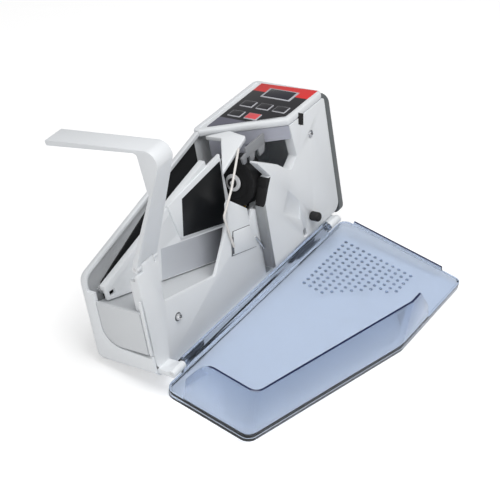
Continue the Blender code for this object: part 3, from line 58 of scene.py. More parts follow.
# Body axes
# The moulded body leans back on its feet, so its pieces are placed along its own axes, in millimetres:
# X along the hinge line, Y from the front wall back, Z up the wall, all from the cover's hinge end.
MM = 0.001
body_lean = math.radians(14)
hinge_behind = -3.9 * MM
hinge_above = 5.6 * MM
joint_places = {joint["name"]: Vector(joint["pos_m"]) for joint in frame["record"]["behaviour"]["joints"]}
body_turn = Matrix.Rotation(-body_lean, 4, "X")
body_corner = joint_places["cover_hinge"] - body_turn @ Vector((0.0, hinge_behind, hinge_above))
body_space = Matrix.Translation(body_corner) @ body_turn


# Rear shell
# The tub that carries everything: injection-moulded white plastic with a satin spark finish,
# rounded along its back and open at the front, where the front walls screw on.
def linear(red, green, blue):
    """A display colour as the linear values that a shader takes."""
    return tuple(v / 255 / 12.92 if v <= 10 else ((v / 255 + 0.055) / 1.055) ** 2.4
                 for v in (red, green, blue)) + (1.0,)


def spark_finish():
    """Node group: the fine pitted texture of a moulded surface, with a faint cloudiness in its gloss."""
    group = bpy.data.node_groups.new("spark_finish", "ShaderNodeTree")
    for name, value in (("Grain per metre", 2500.0), ("Cloud per metre", 45.0), ("Roughness", 0.4),
                        ("Roughness spread", 0.08)):
        socket = group.interface.new_socket(name, in_out="INPUT", socket_type="NodeSocketFloat")
        socket.default_value = value
    for name in ("Height", "Roughness", "Shade"):
        group.interface.new_socket(name, in_out="OUTPUT", socket_type="NodeSocketFloat")
    nodes, links = group.nodes, group.links
    given, result = nodes.new("NodeGroupInput"), nodes.new("NodeGroupOutput")
    place = nodes.new("ShaderNodeTexCoord")
    grain, cloud = nodes.new("ShaderNodeTexNoise"), nodes.new("ShaderNodeTexNoise")
    grain.inputs["Detail"].default_value = 2.0
    cloud.inputs["Detail"].default_value = 3.0
    for texture, scale in ((grain, "Grain per metre"), (cloud, "Cloud per metre")):
        links.new(place.outputs["Object"], texture.inputs["Vector"])
        links.new(given.outputs[scale], texture.inputs["Scale"])
    centred, spread, total = (nodes.new("ShaderNodeMath") for _ in range(3))
    centred.operation, spread.operation, total.operation = "SUBTRACT", "MULTIPLY", "ADD"
    links.new(cloud.outputs["Fac"], centred.inputs[0])
    centred.inputs[1].default_value = 0.5
    links.new(centred.outputs[0], spread.inputs[0])
    links.new(given.outputs["Roughness spread"], spread.inputs[1])
    links.new(spread.outputs[0], total.inputs[0])
    links.new(given.outputs["Roughness"], total.inputs[1])
    links.new(grain.outputs["Fac"], result.inputs["Height"])
    links.new(total.outputs[0], result.inputs["Roughness"])
    links.new(cloud.outputs["Fac"], result.inputs["Shade"])
    return group


finish_group = spark_finish()


def moulded(name, colour, roughness, spread=0.08, grain=2500.0, depth=0.02, darker=0.95):
    """A moulded material: its colour, faintly uneven, with the spark finish in its gloss and relief."""
    material = bpy.data.materials.new(name)
    material.use_nodes = True
    nodes, links = material.node_tree.nodes, material.node_tree.links
    shader = nodes["Principled BSDF"]
    finish = nodes.new("ShaderNodeGroup")
    finish.node_tree = finish_group
    finish.inputs["Grain per metre"].default_value = grain
    finish.inputs["Roughness"].default_value = roughness
    finish.inputs["Roughness spread"].default_value = spread
    tone = nodes.new("ShaderNodeMix")
    tone.name = "tone"
    tone.data_type = "RGBA"
    tone.blend_type = "MULTIPLY"
    tone.inputs["A"].default_value = colour
    tone.inputs["B"].default_value = (darker, darker, darker, 1.0)
    links.new(finish.outputs["Shade"], tone.inputs["Factor"])
    links.new(tone.outputs["Result"], shader.inputs["Base Color"])
    links.new(finish.outputs["Roughness"], shader.inputs["Roughness"])
    relief = nodes.new("ShaderNodeBump")
    relief.inputs["Strength"].default_value = 0.35
    relief.inputs["Distance"].default_value = depth * MM
    links.new(finish.outputs["Height"], relief.inputs["Height"])
    links.new(relief.outputs["Normal"], shader.inputs["Normal"])
    return material


def rounded(piece, width, corner=35.0, segments=2):
    """Round the piece's sharp edges by width millimetres, and smooth across all but its corners."""
    bpy.ops.object.select_all(action="DESELECT")
    piece.select_set(True)
    bpy.context.view_layer.objects.active = piece
    if width:
        bevel = piece.modifiers.new("edge rounding", "BEVEL")
        bevel.limit_method = "ANGLE"
        bevel.angle_limit = math.radians(corner)
        bevel.width = width * MM
        bevel.segments = segments
        bevel.use_clamp_overlap = True
        bpy.ops.object.modifier_apply(modifier=bevel.name)
    bpy.ops.object.shade_smooth_by_angle(angle=math.radians(corner))
    return piece


def fitted(piece, material, body, slot, *nodes):
    """Give the piece its material and its body; slot is not used."""
    piece.data.materials.clear()
    piece.data.materials.append(material)
    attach(piece, body)
    if nodes:
        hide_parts(*nodes)
    return piece


def finished(node, body, slot, material, edge, corner=35.0, segments=2, reshape=None):
    """The node's own form with its facets merged to whole faces and its sharp edges rounded."""
    same_place, same_plane = 0.004 * MM, math.radians(0.8)
    piece = bpy.data.objects.new(node + "_finished", frame["nodes"][node].data.copy())
    bpy.context.collection.objects.link(piece)
    bpy.ops.object.select_all(action="DESELECT")
    piece.select_set(True)
    bpy.context.view_layer.objects.active = piece
    bpy.ops.mesh.customdata_custom_splitnormals_clear()
    bpy.ops.object.mode_set(mode="EDIT")
    bpy.ops.mesh.select_all(action="SELECT")
    bpy.ops.mesh.remove_doubles(threshold=same_place)
    bpy.ops.mesh.dissolve_limited(angle_limit=same_plane)
    bpy.ops.object.mode_set(mode="OBJECT")
    if reshape:
        reshape(piece)
    rounded(piece, edge, corner, segments)
    return fitted(piece, material, body, slot, node)


white = moulded("white moulding", linear(232, 235, 238), 0.38)
finished("rear_shell", "body", "white_plastic", white, 0.8, segments=3)

# Battery compartment
# A ribbed white lid let into the shell's back, over four round cells in dark sleeves. The photograph
# doesn't show them.
finished("battery_lid", "body", "white_plastic", white, 0.3)
sleeve = moulded("cell sleeve", linear(52, 62, 74), 0.32, grain=1500.0, depth=0.01)
for index in range(1, 5):
    finished(f"battery_cell_{index}", "body", "grey_plastic", sleeve, 0.4)

# Hopper
# The note hopper's floor and end wall: one white moulding fixed inside the shell, its floor
# sloping down to the drum, a shade duller than the outside.
inner_white = moulded("inner white moulding", linear(214, 217, 220), 0.45)
finished("hopper_frame", "body", "white_plastic", inner_white, 0.4)

# Front wall
# The recessed wall with the note arm's post and the notch under the drum. On it are a shallow door
# plate over a gap, the wire's slot, a steel release pin, the post's screw and a corner fillet. Dark grey
# plates paint the shade in the gap round the door, in the wire's slot and in the screw's well.
finished("front_housing", "body", "white_plastic", white, 0.5)


def settled(piece, space=body_space):
    """Turn a piece made along the body's axes into its place, with its object back at the origin."""
    bpy.ops.object.select_all(action="DESELECT")
    piece.select_set(True)
    bpy.context.view_layer.objects.active = piece
    piece.matrix_world = space
    bpy.ops.object.transform_apply(location=True, rotation=True, scale=True)
    return piece


def block(name, low, high):
    """A block between two corners, in millimetres along the body's axes."""
    size = [end - start for start, end in zip(low, high)]
    middle = [MM * (start + end) / 2 for start, end in zip(low, high)]
    bpy.ops.object.select_all(action="DESELECT")
    bpy.ops.mesh.primitive_cube_add(size=MM, location=middle, scale=size)
    piece = bpy.context.object
    piece.name = name
    bpy.ops.object.transform_apply(location=True, rotation=True, scale=True)
    return piece


def cut_plate(name, corners, low, high, across=1, space=body_space):
    """A block cut along each side of a convex outline, low to high through its thickness."""
    first, second = [axis for axis in range(3) if axis != across]
    spare = 1.0
    near, far = [0.0] * 3, [0.0] * 3
    near[across], far[across] = low, high
    for axis, place in ((first, 0), (second, 1)):
        near[axis] = min(corner[place] for corner in corners) - spare
        far[axis] = max(corner[place] for corner in corners) + spare
    piece = block(name, near, far)
    middle = [sum(corner[place] for corner in corners) / len(corners) for place in (0, 1)]
    bpy.ops.object.mode_set(mode="EDIT")
    for start, end in zip(corners, corners[1:] + corners[:1]):
        outward = Vector((end[1] - start[1], start[0] - end[0])).normalized()
        if outward.dot(Vector(start) - Vector(middle)) < 0:
            outward.negate()
        facing = [0.0] * 3
        facing[first], facing[second] = outward
        point = [0.0] * 3
        point[first], point[second] = start[0] * MM, start[1] * MM
        bpy.ops.mesh.select_all(action="SELECT")
        bpy.ops.mesh.bisect(plane_co=point, plane_no=facing, use_fill=True, clear_outer=True)
    bpy.ops.object.mode_set(mode="OBJECT")
    return settled(piece, space)


shadow_gap = moulded("shadow gap", linear(96, 98, 102), 0.6)
black = moulded("black plastic", linear(24, 24, 27), 0.4, grain=1600.0)
recess = 6.8
buried = recess + 0.4
door = [(99.7, 52.9), (117.1, 47.7), (120.5, 29.2), (94.9, 37.3)]
# A dark grey plate a little larger than the door paints the shade in the gap round it.
door_gap_shade = [(99.0, 53.6), (117.4, 48.1), (120.8, 28.7), (93.6, 37.0)]
fitted(cut_plate("door_gap_shade", door_gap_shade, recess - 0.08, recess + 0.6), shadow_gap, "body", "grey_plastic")
fitted(rounded(cut_plate("door_plate", door, recess - 0.7, buried), 0.35), white, "body", "white_plastic")
# The wire's slot is a dark grey plate: painted shade.
slot_corners = [(96.6, 50.6), (98.3, 49.6), (96.2, 38.0), (94.4, 38.6)]
fitted(cut_plate("wire_slot_shade", slot_corners, recess - 0.75, buried), shadow_gap, "body", "grey_plastic")


def metal(name, colour, roughness, grain=900.0):
    """A drawn or turned metal: its colour with the faint unevenness that drawing leaves in its gloss."""
    material = moulded(name, colour, roughness, spread=0.12, grain=grain, depth=0.01)
    material.node_tree.nodes["Principled BSDF"].inputs["Metallic"].default_value = 1.0
    return material


steel = metal("plated steel", linear(216, 217, 219), 0.28)


def rod(name, start, end, radius, material, body, slot):
    """A round pin between two points in body axes, with rounded ends."""
    start, end = Vector(start) * MM, Vector(end) * MM
    bpy.ops.object.select_all(action="DESELECT")
    bpy.ops.mesh.primitive_cylinder_add(vertices=20, radius=radius * MM, depth=(end - start).length)
    piece = bpy.context.object
    piece.name = name
    settled(piece, body_space @ Matrix.Translation((start + end) / 2)
            @ (end - start).to_track_quat("Z", "Y").to_matrix().to_4x4())
    return fitted(rounded(piece, radius * 0.35), material, body, slot)


rod("release_pin", (121.6, 6.6, 36.2), (126.2, 4.6, 24.6), 0.65, steel, "body", "steel")


face_front = Matrix.Rotation(math.radians(90), 4, "X")


def headed_screw(name, centre, radius, rise, node):
    """A pan-head screw facing front, with a round drive recess sunk in its head."""
    bpy.ops.object.select_all(action="DESELECT")
    bpy.ops.mesh.primitive_cylinder_add(vertices=28, radius=radius * MM, depth=2 * rise * MM)
    piece = bpy.context.object
    piece.name = name
    bpy.ops.object.mode_set(mode="EDIT")
    bpy.ops.mesh.select_all(action="DESELECT")
    bpy.ops.object.mode_set(mode="OBJECT")
    for face in piece.data.polygons:
        face.select = face.normal.z > 0.9
    bpy.ops.object.mode_set(mode="EDIT")
    bpy.ops.mesh.bevel(offset=0.45 * rise * MM, segments=2)
    bpy.ops.object.mode_set(mode="OBJECT")
    for face in piece.data.polygons:
        face.select = face.normal.z > 0.9 and len(face.vertices) > 20
    bpy.ops.object.mode_set(mode="EDIT")
    bpy.ops.mesh.inset(thickness=0.45 * radius * MM)
    bpy.ops.mesh.extrude_region_move(TRANSFORM_OT_translate={"value": (0.0, 0.0, -rise * 0.9 * MM)})
    bpy.ops.object.mode_set(mode="OBJECT")
    settled(piece, body_space @ Matrix.Translation(Vector(centre) * MM) @ face_front)
    bpy.ops.object.shade_smooth_by_angle(angle=math.radians(35))
    return fitted(piece, steel, "body", "steel", node)


def front_disc(name, centre, radius, low, high, material):
    """A flat disc facing front, between two depths: the bottom of a screw's well, dark as painted shade."""
    bpy.ops.object.select_all(action="DESELECT")
    bpy.ops.mesh.primitive_cylinder_add(vertices=28, radius=radius * MM, depth=(high - low) * MM)
    piece = bpy.context.object
    piece.name = name
    place = Vector((centre[0], (low + high) / 2, centre[1])) * MM
    settled(piece, body_space @ Matrix.Translation(place) @ face_front)
    return fitted(rounded(piece, 0.04), material, "body", "grey_plastic")


# The screw's well is a dark grey disc behind its head: painted shade.
front_disc("post_screw_well_shade", (31.2, 29.3), 3.1, recess - 0.06, recess + 0.5, shadow_gap)
headed_screw("post_screw_head", (31.2, 6.2, 29.3), 2.3, 0.6, "post_screw")
seal = settled(block("corner_seal", (0.05, 6.3, 19.0), (1.5, 8.3, 60.0)))
fitted(rounded(seal, 0.3), white, "body", "white_plastic")

# Painted shade behind the press plate
# A dark sheet inside the shell's back wall, behind the press plate, where its spring and pin sit. It is
# painted shade: the space there lies deep in shadow and reads almost black.
shade_sheet_black = moulded("painted shade sheet", linear(30, 31, 33), 0.7, grain=1500.0)
shade_sheet_corners = [(17.0, 30.0), (17.0, 53.0), (124.0, 96.3), (131.0, 96.3), (131.0, 30.0)]
fitted(cut_plate("painted_shade_sheet", shade_sheet_corners, 53.2, 54.2), shade_sheet_black, "body", "grey_plastic")

# Raised front cover
# The white moulding beside the drum, screwed to the shell. Its side towards the hopper carries a grey
# strip, darker towards its bottom in painted shade, with a black lining above it. A latch slot and a
# gauge hole are dark inside, where dark plates behind them paint the shade, and a rubber bumper stands
# on its front.
finished("front_cover", "body", "white_plastic", white, 0.6)
finished("right_knuckle", "body", "white_plastic", white, 0.3)


def graded(name, axis, start, end, stops, roughness, steps=False, **look):
    """A moulded material whose colour changes along one axis, between two places in metres."""
    material = moulded(name, stops[0][1], roughness, **look)
    nodes, links = material.node_tree.nodes, material.node_tree.links
    place, split = nodes.new("ShaderNodeTexCoord"), nodes.new("ShaderNodeSeparateXYZ")
    span, ramp = nodes.new("ShaderNodeMapRange"), nodes.new("ShaderNodeValToRGB")
    span.inputs["From Min"].default_value = start
    span.inputs["From Max"].default_value = end
    while len(ramp.color_ramp.elements) < len(stops):
        ramp.color_ramp.elements.new(0.5)
    for element, (position, colour) in zip(ramp.color_ramp.elements, stops):
        element.position = position
        element.color = colour
    ramp.color_ramp.interpolation = "CONSTANT" if steps else "LINEAR"
    links.new(place.outputs["Object"], split.inputs["Vector"])
    links.new(split.outputs[axis], span.inputs["Value"])
    links.new(span.outputs["Result"], ramp.inputs["Fac"])
    links.new(ramp.outputs["Color"], nodes["tone"].inputs["A"])
    return material


# The strip's grey darkens towards its bottom: painted shade.
strip_shade_tones = [(0.0, linear(122, 124, 130)), (1.0, linear(160, 163, 165))]
strip_grey_shaded = graded("grey strip with painted shade", "Z", 0.02, 0.072, strip_shade_tones, 0.45)
cover_face = -0.2
strip = [(126.5, 9.4), (129.3, 8.9), (129.3, 58.6), (126.6, 57.6)]
fitted(rounded(cut_plate("grey_side_strip", strip, cover_face, 6.6), 0.15), strip_grey_shaded, "body", "grey_plastic")
lining = moulded("throat lining", linear(15, 15, 17), 0.75, grain=1600.0)
lining_low = [(126.6, 57.8), (129.3, 58.9), (135.4, 68.4), (132.4, 69.0)]
lining_high = [(132.4, 68.8), (135.4, 68.4), (139.6, 74.3), (135.0, 74.9)]
for name, corners in (("throat_lining_low", lining_low), ("throat_lining_high", lining_high)):
    fitted(rounded(cut_plate(name, corners, cover_face, 6.7), 0.15), lining, "body", "black_rubber")
# Plates behind the latch slot and the gauge hole paint the shade inside them.
latch_shade_corners = [(180.7, 101.7), (186.1, 98.2), (184.2, 90.4), (179.0, 93.6)]
gauge_shade_corners = [(164.5, 9.0), (171.0, 9.0), (171.0, 18.0), (164.5, 18.0)]
fitted(cut_plate("latch_slot_shade", latch_shade_corners, -0.12, 0.5), lining, "body", "black_rubber")
fitted(cut_plate("gauge_hole_shade", gauge_shade_corners, 2.5, 2.9), shadow_gap, "body", "grey_plastic")
headed_screw("cover_screw_head", (191.5, 0.9, 79.6), 2.3, 0.7, "cover_screw")
rubber = moulded("black rubber", linear(20, 20, 22), 0.62, grain=1800.0, depth=0.04)
finished("cover_bumper", "body", "black_rubber", rubber, 0.5, segments=3)
finished("sensor_eye", "body", "grey_plastic", black, 0.2)

# Inner wall and note guide
# Under the panel's slanting edge hang a white moulded wall, tinted bluish grey with painted shade, and a
# comb of grey fingers over the drum. The note guide is a faceted white moulding that leads the notes'
# top edge to the drum.
# The wall is white plastic; its bluish grey is painted shade under the panel's rim.
wall_shade_grey = moulded("white moulding in painted shade", linear(182, 184, 196), 0.5)
wall = [(138.5, 46.5), (139.8, 47.4), (170.4, 1.6), (169.1, 0.7)]
fitted(cut_plate("panel_wall", wall, 87.6, 97.7, across=2), wall_shade_grey, "body", "white_plastic", "inner_wall")
wall_foot = [(138.5, 46.5), (139.8, 47.4), (153.2, 27.5), (151.9, 26.6)]
fitted(cut_plate("panel_wall_foot", wall_foot, 81.0, 87.8, across=2), wall_shade_grey, "body", "white_plastic")
comb_grey = moulded("grey comb moulding", linear(142, 144, 148), 0.5)
for name, corners in (("comb_top", [(132.6, 97.6), (154.4, 97.6), (153.6, 90.4), (132.6, 90.4)]),
                      ("comb_block", [(145.4, 90.8), (153.6, 90.8), (151.8, 85.4), (146.2, 84.2)]),
                      ("comb_tooth", [(135.6, 90.8), (141.8, 90.8), (139.8, 85.4), (136.2, 85.4)]),
                      ("comb_tooth_left", [(127.0, 92.6), (133.0, 94.0), (131.6, 87.4), (128.2, 87.4)])):
    fitted(rounded(cut_plate(name, corners, 11.0, 12.8), 0.25), comb_grey, "body", "white_plastic")
finished("note_guide", "body", "white_plastic", white, 0.7, segments=3)

# Drive
# A moulded bearing plate holds the motor and the drum's shaft; a flat rubber belt runs from the
# motor's brass pulley to the drum's white one. A grey facet closes the notch in front of them.
finished("bearing_bracket", "body", "white_plastic", inner_white, 0.3)
finished("roller_pulley", "roller", "white_plastic", inner_white, 0.2)
finished("drive_belt", "body", "black_rubber", rubber, 0.0)
finished("drive_motor", "body", "steel", steel, 0.3)
brass = metal("turned brass", linear(200, 168, 98), 0.3)
finished("motor_pulley", "motor_wheel", "brass", brass, 0.2)
notch_back = [(111.5, 43.0), (127.5, 43.0), (127.5, 56.5), (111.5, 56.5)]
notch_grey = moulded("notch facet", linear(150, 152, 156), 0.5)
fitted(cut_plate("notch_back", notch_back, 8.8, 9.4), notch_grey, "body", "grey_plastic")

# Feed drum
# A solid rubber drum on the end of its shaft, held by a bright steel washer, a blackened screw and a
# spring clip, all turning together.
roller_tilt = math.radians(15)
roller_space = (Matrix.Translation(joint_places["roller_spin"]) @ body_turn
                @ Matrix.Rotation(math.radians(90) + roller_tilt, 4, "Y"))


def turned(name, radius, low, high, material, slot, sides=48, dish=None, edge=0.3, nodes=()):
    """A round piece on the drum's axis; dish gives the rim width and depth of a recess in its left face."""
    bpy.ops.object.select_all(action="DESELECT")
    bpy.ops.mesh.primitive_cylinder_add(vertices=sides, radius=radius * MM, depth=(high - low) * MM,
                                        location=(0.0, 0.0, (low + high) / 2 * MM))
    piece = bpy.context.object
    piece.name = name
    bpy.ops.object.transform_apply(location=True, rotation=True, scale=True)
    if dish:
        bpy.ops.object.mode_set(mode="EDIT")
        bpy.ops.mesh.select_all(action="DESELECT")
        bpy.ops.object.mode_set(mode="OBJECT")
        for face in piece.data.polygons:
            face.select = face.normal.z < -0.9
        bpy.ops.object.mode_set(mode="EDIT")
        bpy.ops.mesh.inset(thickness=dish[0] * MM)
        bpy.ops.mesh.extrude_region_move(TRANSFORM_OT_translate={"value": (0.0, 0.0, dish[1] * MM)})
        bpy.ops.object.mode_set(mode="OBJECT")
    settled(piece, roller_space)
    return fitted(rounded(piece, edge, segments=3), material, "roller", slot, *nodes)


drum_half = 7.5
turned("drum", 17.0, -drum_half, drum_half, rubber, "black_rubber", sides=72, dish=(5.5, 0.5), edge=0.9,
       nodes=("feed_roller",))
finished("roller_shaft", "roller", "steel", steel, 0.0)
washer_steel = moulded("bright washer", linear(232, 233, 235), 0.3)
turned("drum_washer", 6.0, -8.85, -7.65, washer_steel, "steel", edge=0.35, nodes=("retaining_washer",))
turned("drum_screw", 3.4, -9.9, -8.9, black, "steel", dish=(1.2, 0.5), edge=0.2, nodes=("roller_screw",))
turned("drum_clip", 1.5, -10.2, -9.3, washer_steel, "steel", sides=6, edge=0.15)

# Guide wire
# One bent length of spring steel with a pale coating in front of the drum, its tail in the wall's
# slot.
enamel = moulded("wire enamel", linear(232, 228, 224), 0.25, grain=1200.0, depth=0.01)
finished("guide_wire", "body", "steel", enamel, 0.0, corner=60.0)

# Press plate
# The sprung plate that presses the notes forward: a white moulding with a glossy black rubber pad in
# a raised rim, a bare pale sticker under the pad that darkens towards its right end in painted shade, a
# slot for its spring, grey with painted shade, and its pin.
finished("press_plate", "plate", "white_plastic", white, 0.4)
plate_space = (Matrix.Translation(joint_places["press_plate_hinge"]) @ body_turn
               @ Matrix.Rotation(math.radians(-6.5), 4, "Z") @ Matrix.Rotation(math.radians(-3), 4, "X"))
plate_face = -3.05
rim = [(-45.5, 84.0), (8.6, 95.2), (8.0, 44.6), (-40.6, 56.6)]
fitted(rounded(cut_plate("pad_rim", rim, plate_face - 0.9, plate_face + 1.4, space=plate_space), 0.5),
       white, "plate", "white_plastic")
pad = [(-32.3, 82.7), (7.2, 90.6), (3.0, 46.2), (-38.6, 57.6)]
pad_black = moulded("pad rubber", linear(15, 17, 20), 0.3, grain=900.0, depth=0.03)
fitted(rounded(cut_plate("press_pad", pad, plate_face - 1.2, plate_face, space=plate_space), 0.3),
       pad_black, "plate", "black_rubber", "friction_pad")
# The sticker is pale; its dark right end is painted shade.
sticker = [(-58.8, 59.3), (-2.5, 44.6), (-13.5, 25.1), (-63.9, 38.6)]
sticker_shade_tones = [(0.0, linear(206, 210, 216)), (0.62, linear(186, 189, 196)), (1.0, linear(66, 67, 72))]
sticker_shade_film = graded("bare sticker with painted shade", "X", -0.058, 0.004, sticker_shade_tones, 0.3)
sunk = plate_face + 0.3
fitted(cut_plate("bare_sticker_shaded", sticker, plate_face - 0.14, sunk, space=plate_space), sticker_shade_film,
       "plate", "white_plastic")
# The spring's slot is a grey plate on the plate's face: painted shade.
spring_slot = [(-81.2, 65.1), (-78.8, 63.8), (-82.3, 55.3), (-85.0, 56.9)]
spring_slot_shade = moulded("slot shade", linear(150, 154, 166), 0.5)
fitted(cut_plate("spring_slot", spring_slot, plate_face - 0.1, sunk, space=plate_space), spring_slot_shade,
       "plate", "white_plastic")
finished("plate_pin", "body", "steel", steel, 0.0)
finished("plate_spring", "plate", "steel", steel, 0.0, corner=60.0)
finished("plate_carrier", "body", "white_plastic", inner_white, 0.3)


# Note arm
# The white moulded arm that holds the notes upright: a broad strip bent over into a finger, with a
# long narrow web under the bend. It swings on a steel pin in the front wall's post.
def settle_arm(piece):
    """Bring the arm's bend to the photograph's: finger further down, web longer, strip a little broader."""
    pivot, bend = Vector((0.0, 9.4, 80.6)) * MM, Vector((0.0, -10.0, 163.0)) * MM
    dip, lean = Matrix.Rotation(math.radians(-7.9), 3, "X"), Matrix.Rotation(math.radians(2), 3, "X")
    web_slide = Vector((0.0, 4.1, -13.4)) * MM
    mid_width, flare, flare_foot, flare_rise = 15 * MM, 2.3 * MM, 95.0, 62.0
    finger_front, finger_under, knee = -9.0 * MM, 158 * MM, pivot.z + 15 * MM
    web_front, web_back, web_low, web_high = -11.3 * MM, -9.7 * MM, 145 * MM, 151 * MM
    back = body_space.inverted()
    for vertex in piece.data.vertices:
        point = back @ vertex.co
        if web_front < point.y < web_back and web_low < point.z < web_high:
            point += web_slide
        if point.x > mid_width:
            point.x += flare * min(max((point.z / MM - flare_foot) / flare_rise, 0.0), 1.0)
        if point.y > finger_front and point.z > finger_under:
            point.yz = (bend + dip @ (point - bend)).yz
        if point.z > knee:
            point.yz = (pivot + lean @ (point - pivot)).yz
        vertex.co = body_space @ point


finished("note_arm", "arm", "white_plastic", white, 0.6, segments=3, reshape=settle_arm)
finished("arm_pin", "body", "steel", steel, 0.0)

# Top panel
# The white top moulding and the printed film stuck on it: grey at its open corner, dark under the
# keys, red at the end. Five keys with pale rings stand through it beside the counter's dark window,
# over the green board that carries them.
finished("top_cover", "body", "white_plastic", white, 0.4, segments=3)
film_tones = [(0.0, linear(105, 105, 118)), (0.26, linear(45, 45, 48)), (0.804, linear(228, 52, 52))]
film = graded("panel film", "X", 0.029, 0.1045, film_tones, 0.32, steps=True, grain=1200.0, depth=0.01,
              spread=0.04)
film_corners = [(142.1, 48.8), (208.4, 48.9), (211.0, 3.0), (172.5, 4.6)]
film_under, film_top = 102.3, 102.86
fitted(rounded(cut_plate("panel_film", film_corners, film_under, film_top, across=2), 0.1), film, "body",
       "black_film", "key_overlay")
pale_ink = moulded("pale ink", linear(186, 187, 193), 0.34, grain=1200.0, depth=0.01)
dark_ink = moulded("dark ink", linear(45, 45, 49), 0.3, grain=1200.0, depth=0.01)
red_ink = moulded("red ink", linear(228, 88, 94), 0.3, grain=1200.0, depth=0.01)
key_corners = ((174.3, 34.1), (174.3, 20.6), (174.3, 7.1), (159.7, 34.1), (159.7, 20.6))
key_foot, ring_top, cap_foot, cap_top = 100.3, 103.42, 103.37, 103.5
line = 0.6
for index, (left, front) in enumerate(key_corners, 1):
    key = f"key_{index}"
    ring = settled(block(f"{key}_ring", (left, front, key_foot), (left + 8.2, front + 10.4, ring_top)))
    fitted(rounded(ring, 0.5, segments=3), pale_ink, key, "black_film", key)
    cap = block(f"{key}_cap", (left + line, front + line, cap_foot), (left + 7.6, front + 9.8, cap_top))
    settled(cap)
    fitted(rounded(cap, 0.05), red_ink if index == 5 else dark_ink, key, "black_film")
ring = settled(block("window_ring", (190.6, 13.6, 101.3), (204.2, 38.3, 103.05)))
fitted(rounded(ring, 0.4), pale_ink, "body", "dark_screen", "display_window")
glass = moulded("dark window", linear(48, 48, 56), 0.1, grain=500.0, depth=0.002)
pane = settled(block("window_pane", (192.0, 15.4, 101.5), (203.1, 36.6, 103.15)))
fitted(rounded(pane, 0.2), glass, "body", "dark_screen")
finished("display_module", "body", "dark_screen", dark_ink, 0.2)
board = moulded("green board", linear(30, 84, 58), 0.4, grain=700.0, depth=0.02)
finished("control_board", "body", "board_green", board, 0.15)

# End cap
# The grey moulded plate that closes the control end, its rim fitted round the shell and panel. The
# power socket is a black round inlet let into it.
grey = moulded("grey end moulding", linear(96, 101, 103), 0.42)
finished("end_cap", "body", "grey_plastic", grey, 0.9, segments=3)
finished("power_inlet", "body", "grey_plastic", black, 0.3)

# Feet
# Four black moulded rubber feet fixed under the body, the front pair taller so that the body leans
# back on them.
for node in ("foot_front_left", "foot_front_right", "foot_rear_left", "foot_rear_right"):
    finished(node, "body", "black_rubber", rubber, 0.6, segments=3)

# Cover tray
# The hinged cover that catches the notes: clear smoke-blue plastic, moulded in one piece. Along the
# pocket's top edge a dark navy is painted in as shade, for the dark seen where one looks along the
# sheet. It swings on two steel pins. Its shadow is let mostly through.
clear_blue = moulded("smoke blue plastic", linear(181, 191, 206), 0.05, spread=0.02, depth=0.0)
tree = clear_blue.node_tree
shader = tree.nodes["Principled BSDF"]
shader.inputs["Transmission Weight"].default_value = 1.0
shader.inputs["IOR"].default_value = 1.49
rays, passing = tree.nodes.new("ShaderNodeLightPath"), tree.nodes.new("ShaderNodeMapRange")
solid, shadow_share = 1.0, 0.25
passing.inputs["To Min"].default_value = solid
passing.inputs["To Max"].default_value = shadow_share
tree.links.new(rays.outputs["Is Shadow Ray"], passing.inputs["Value"])
tree.links.new(passing.outputs["Result"], shader.inputs["Alpha"])
depths = tree.nodes.new("ShaderNodeVolumeAbsorption")
depths.inputs["Color"].default_value = (0.1, 0.3, 0.6, 1.0)
depths.inputs["Density"].default_value = 12.0
tree.links.new(depths.outputs["Volume"], tree.nodes["Material Output"].inputs["Volume"])
cover = finished("cover_tray", "tray", "tray_plastic", clear_blue, 0.4)
tray_out, tray_up = Vector((0.0, -0.9976, -0.0698)), Vector((0.0, -0.0698, 0.9976))
# Dark navy on the pocket's top edge faces: painted shade.
cover.data.materials.append(moulded("painted edge shade", linear(36, 44, 78), 0.15, depth=0.0))
for face in cover.data.polygons:
    from_hinge = (face.center - joint_places["cover_hinge"]) / MM
    rise, outward = from_hinge.dot(tray_up), from_hinge.dot(tray_out)
    if face.normal.dot(tray_up) > 0.8 and rise > -8.0 and outward > 12.0:
        face.material_index = 1
for node in ("hinge_pin_left", "hinge_pin_right"):
    finished(node, "tray", "steel", steel, 0.0)

# Tray dimples
# Low round dimples in the tray's floor, where the notes slide in: one dimple modelled once, and set
# down on the floor at each place of a square pattern that lies inside a five-sided field.
tray_mesh = frame["nodes"]["cover_tray"].data
tray_form = BVHTree.FromPolygons([vertex.co for vertex in tray_mesh.vertices],
                                 [list(face.vertices) for face in tray_mesh.polygons])
field_corners = [(198.4, 12.3), (142.2, 12.3), (142.4, 27.6), (177.2, 67.2), (198.4, 67.2)]
field_sides = list(zip(field_corners, field_corners[1:] + field_corners[:1]))
bpy.ops.object.select_all(action="DESELECT")
bpy.ops.mesh.primitive_uv_sphere_add(segments=10, ring_count=6, radius=1.3 * MM, scale=(1.0, 1.0, 0.45))
dimple = bpy.context.object
bpy.ops.object.transform_apply(location=True, rotation=True, scale=True)
bpy.ops.object.mode_set(mode="EDIT")
bpy.ops.mesh.select_all(action="SELECT")
bpy.ops.mesh.bisect(plane_co=(0.0, 0.0, 0.0), plane_no=(0.0, 0.0, -1.0), use_fill=True, clear_outer=True)
bpy.ops.object.mode_set(mode="OBJECT")
dimples = []
bedded, level_enough = 0.05 * MM, 0.98
hinge_line = joint_places["cover_hinge"] * Vector((0.0, 1.0, 1.0))
stand_up = tray_up.to_track_quat("Z", "Y").to_matrix().to_4x4()
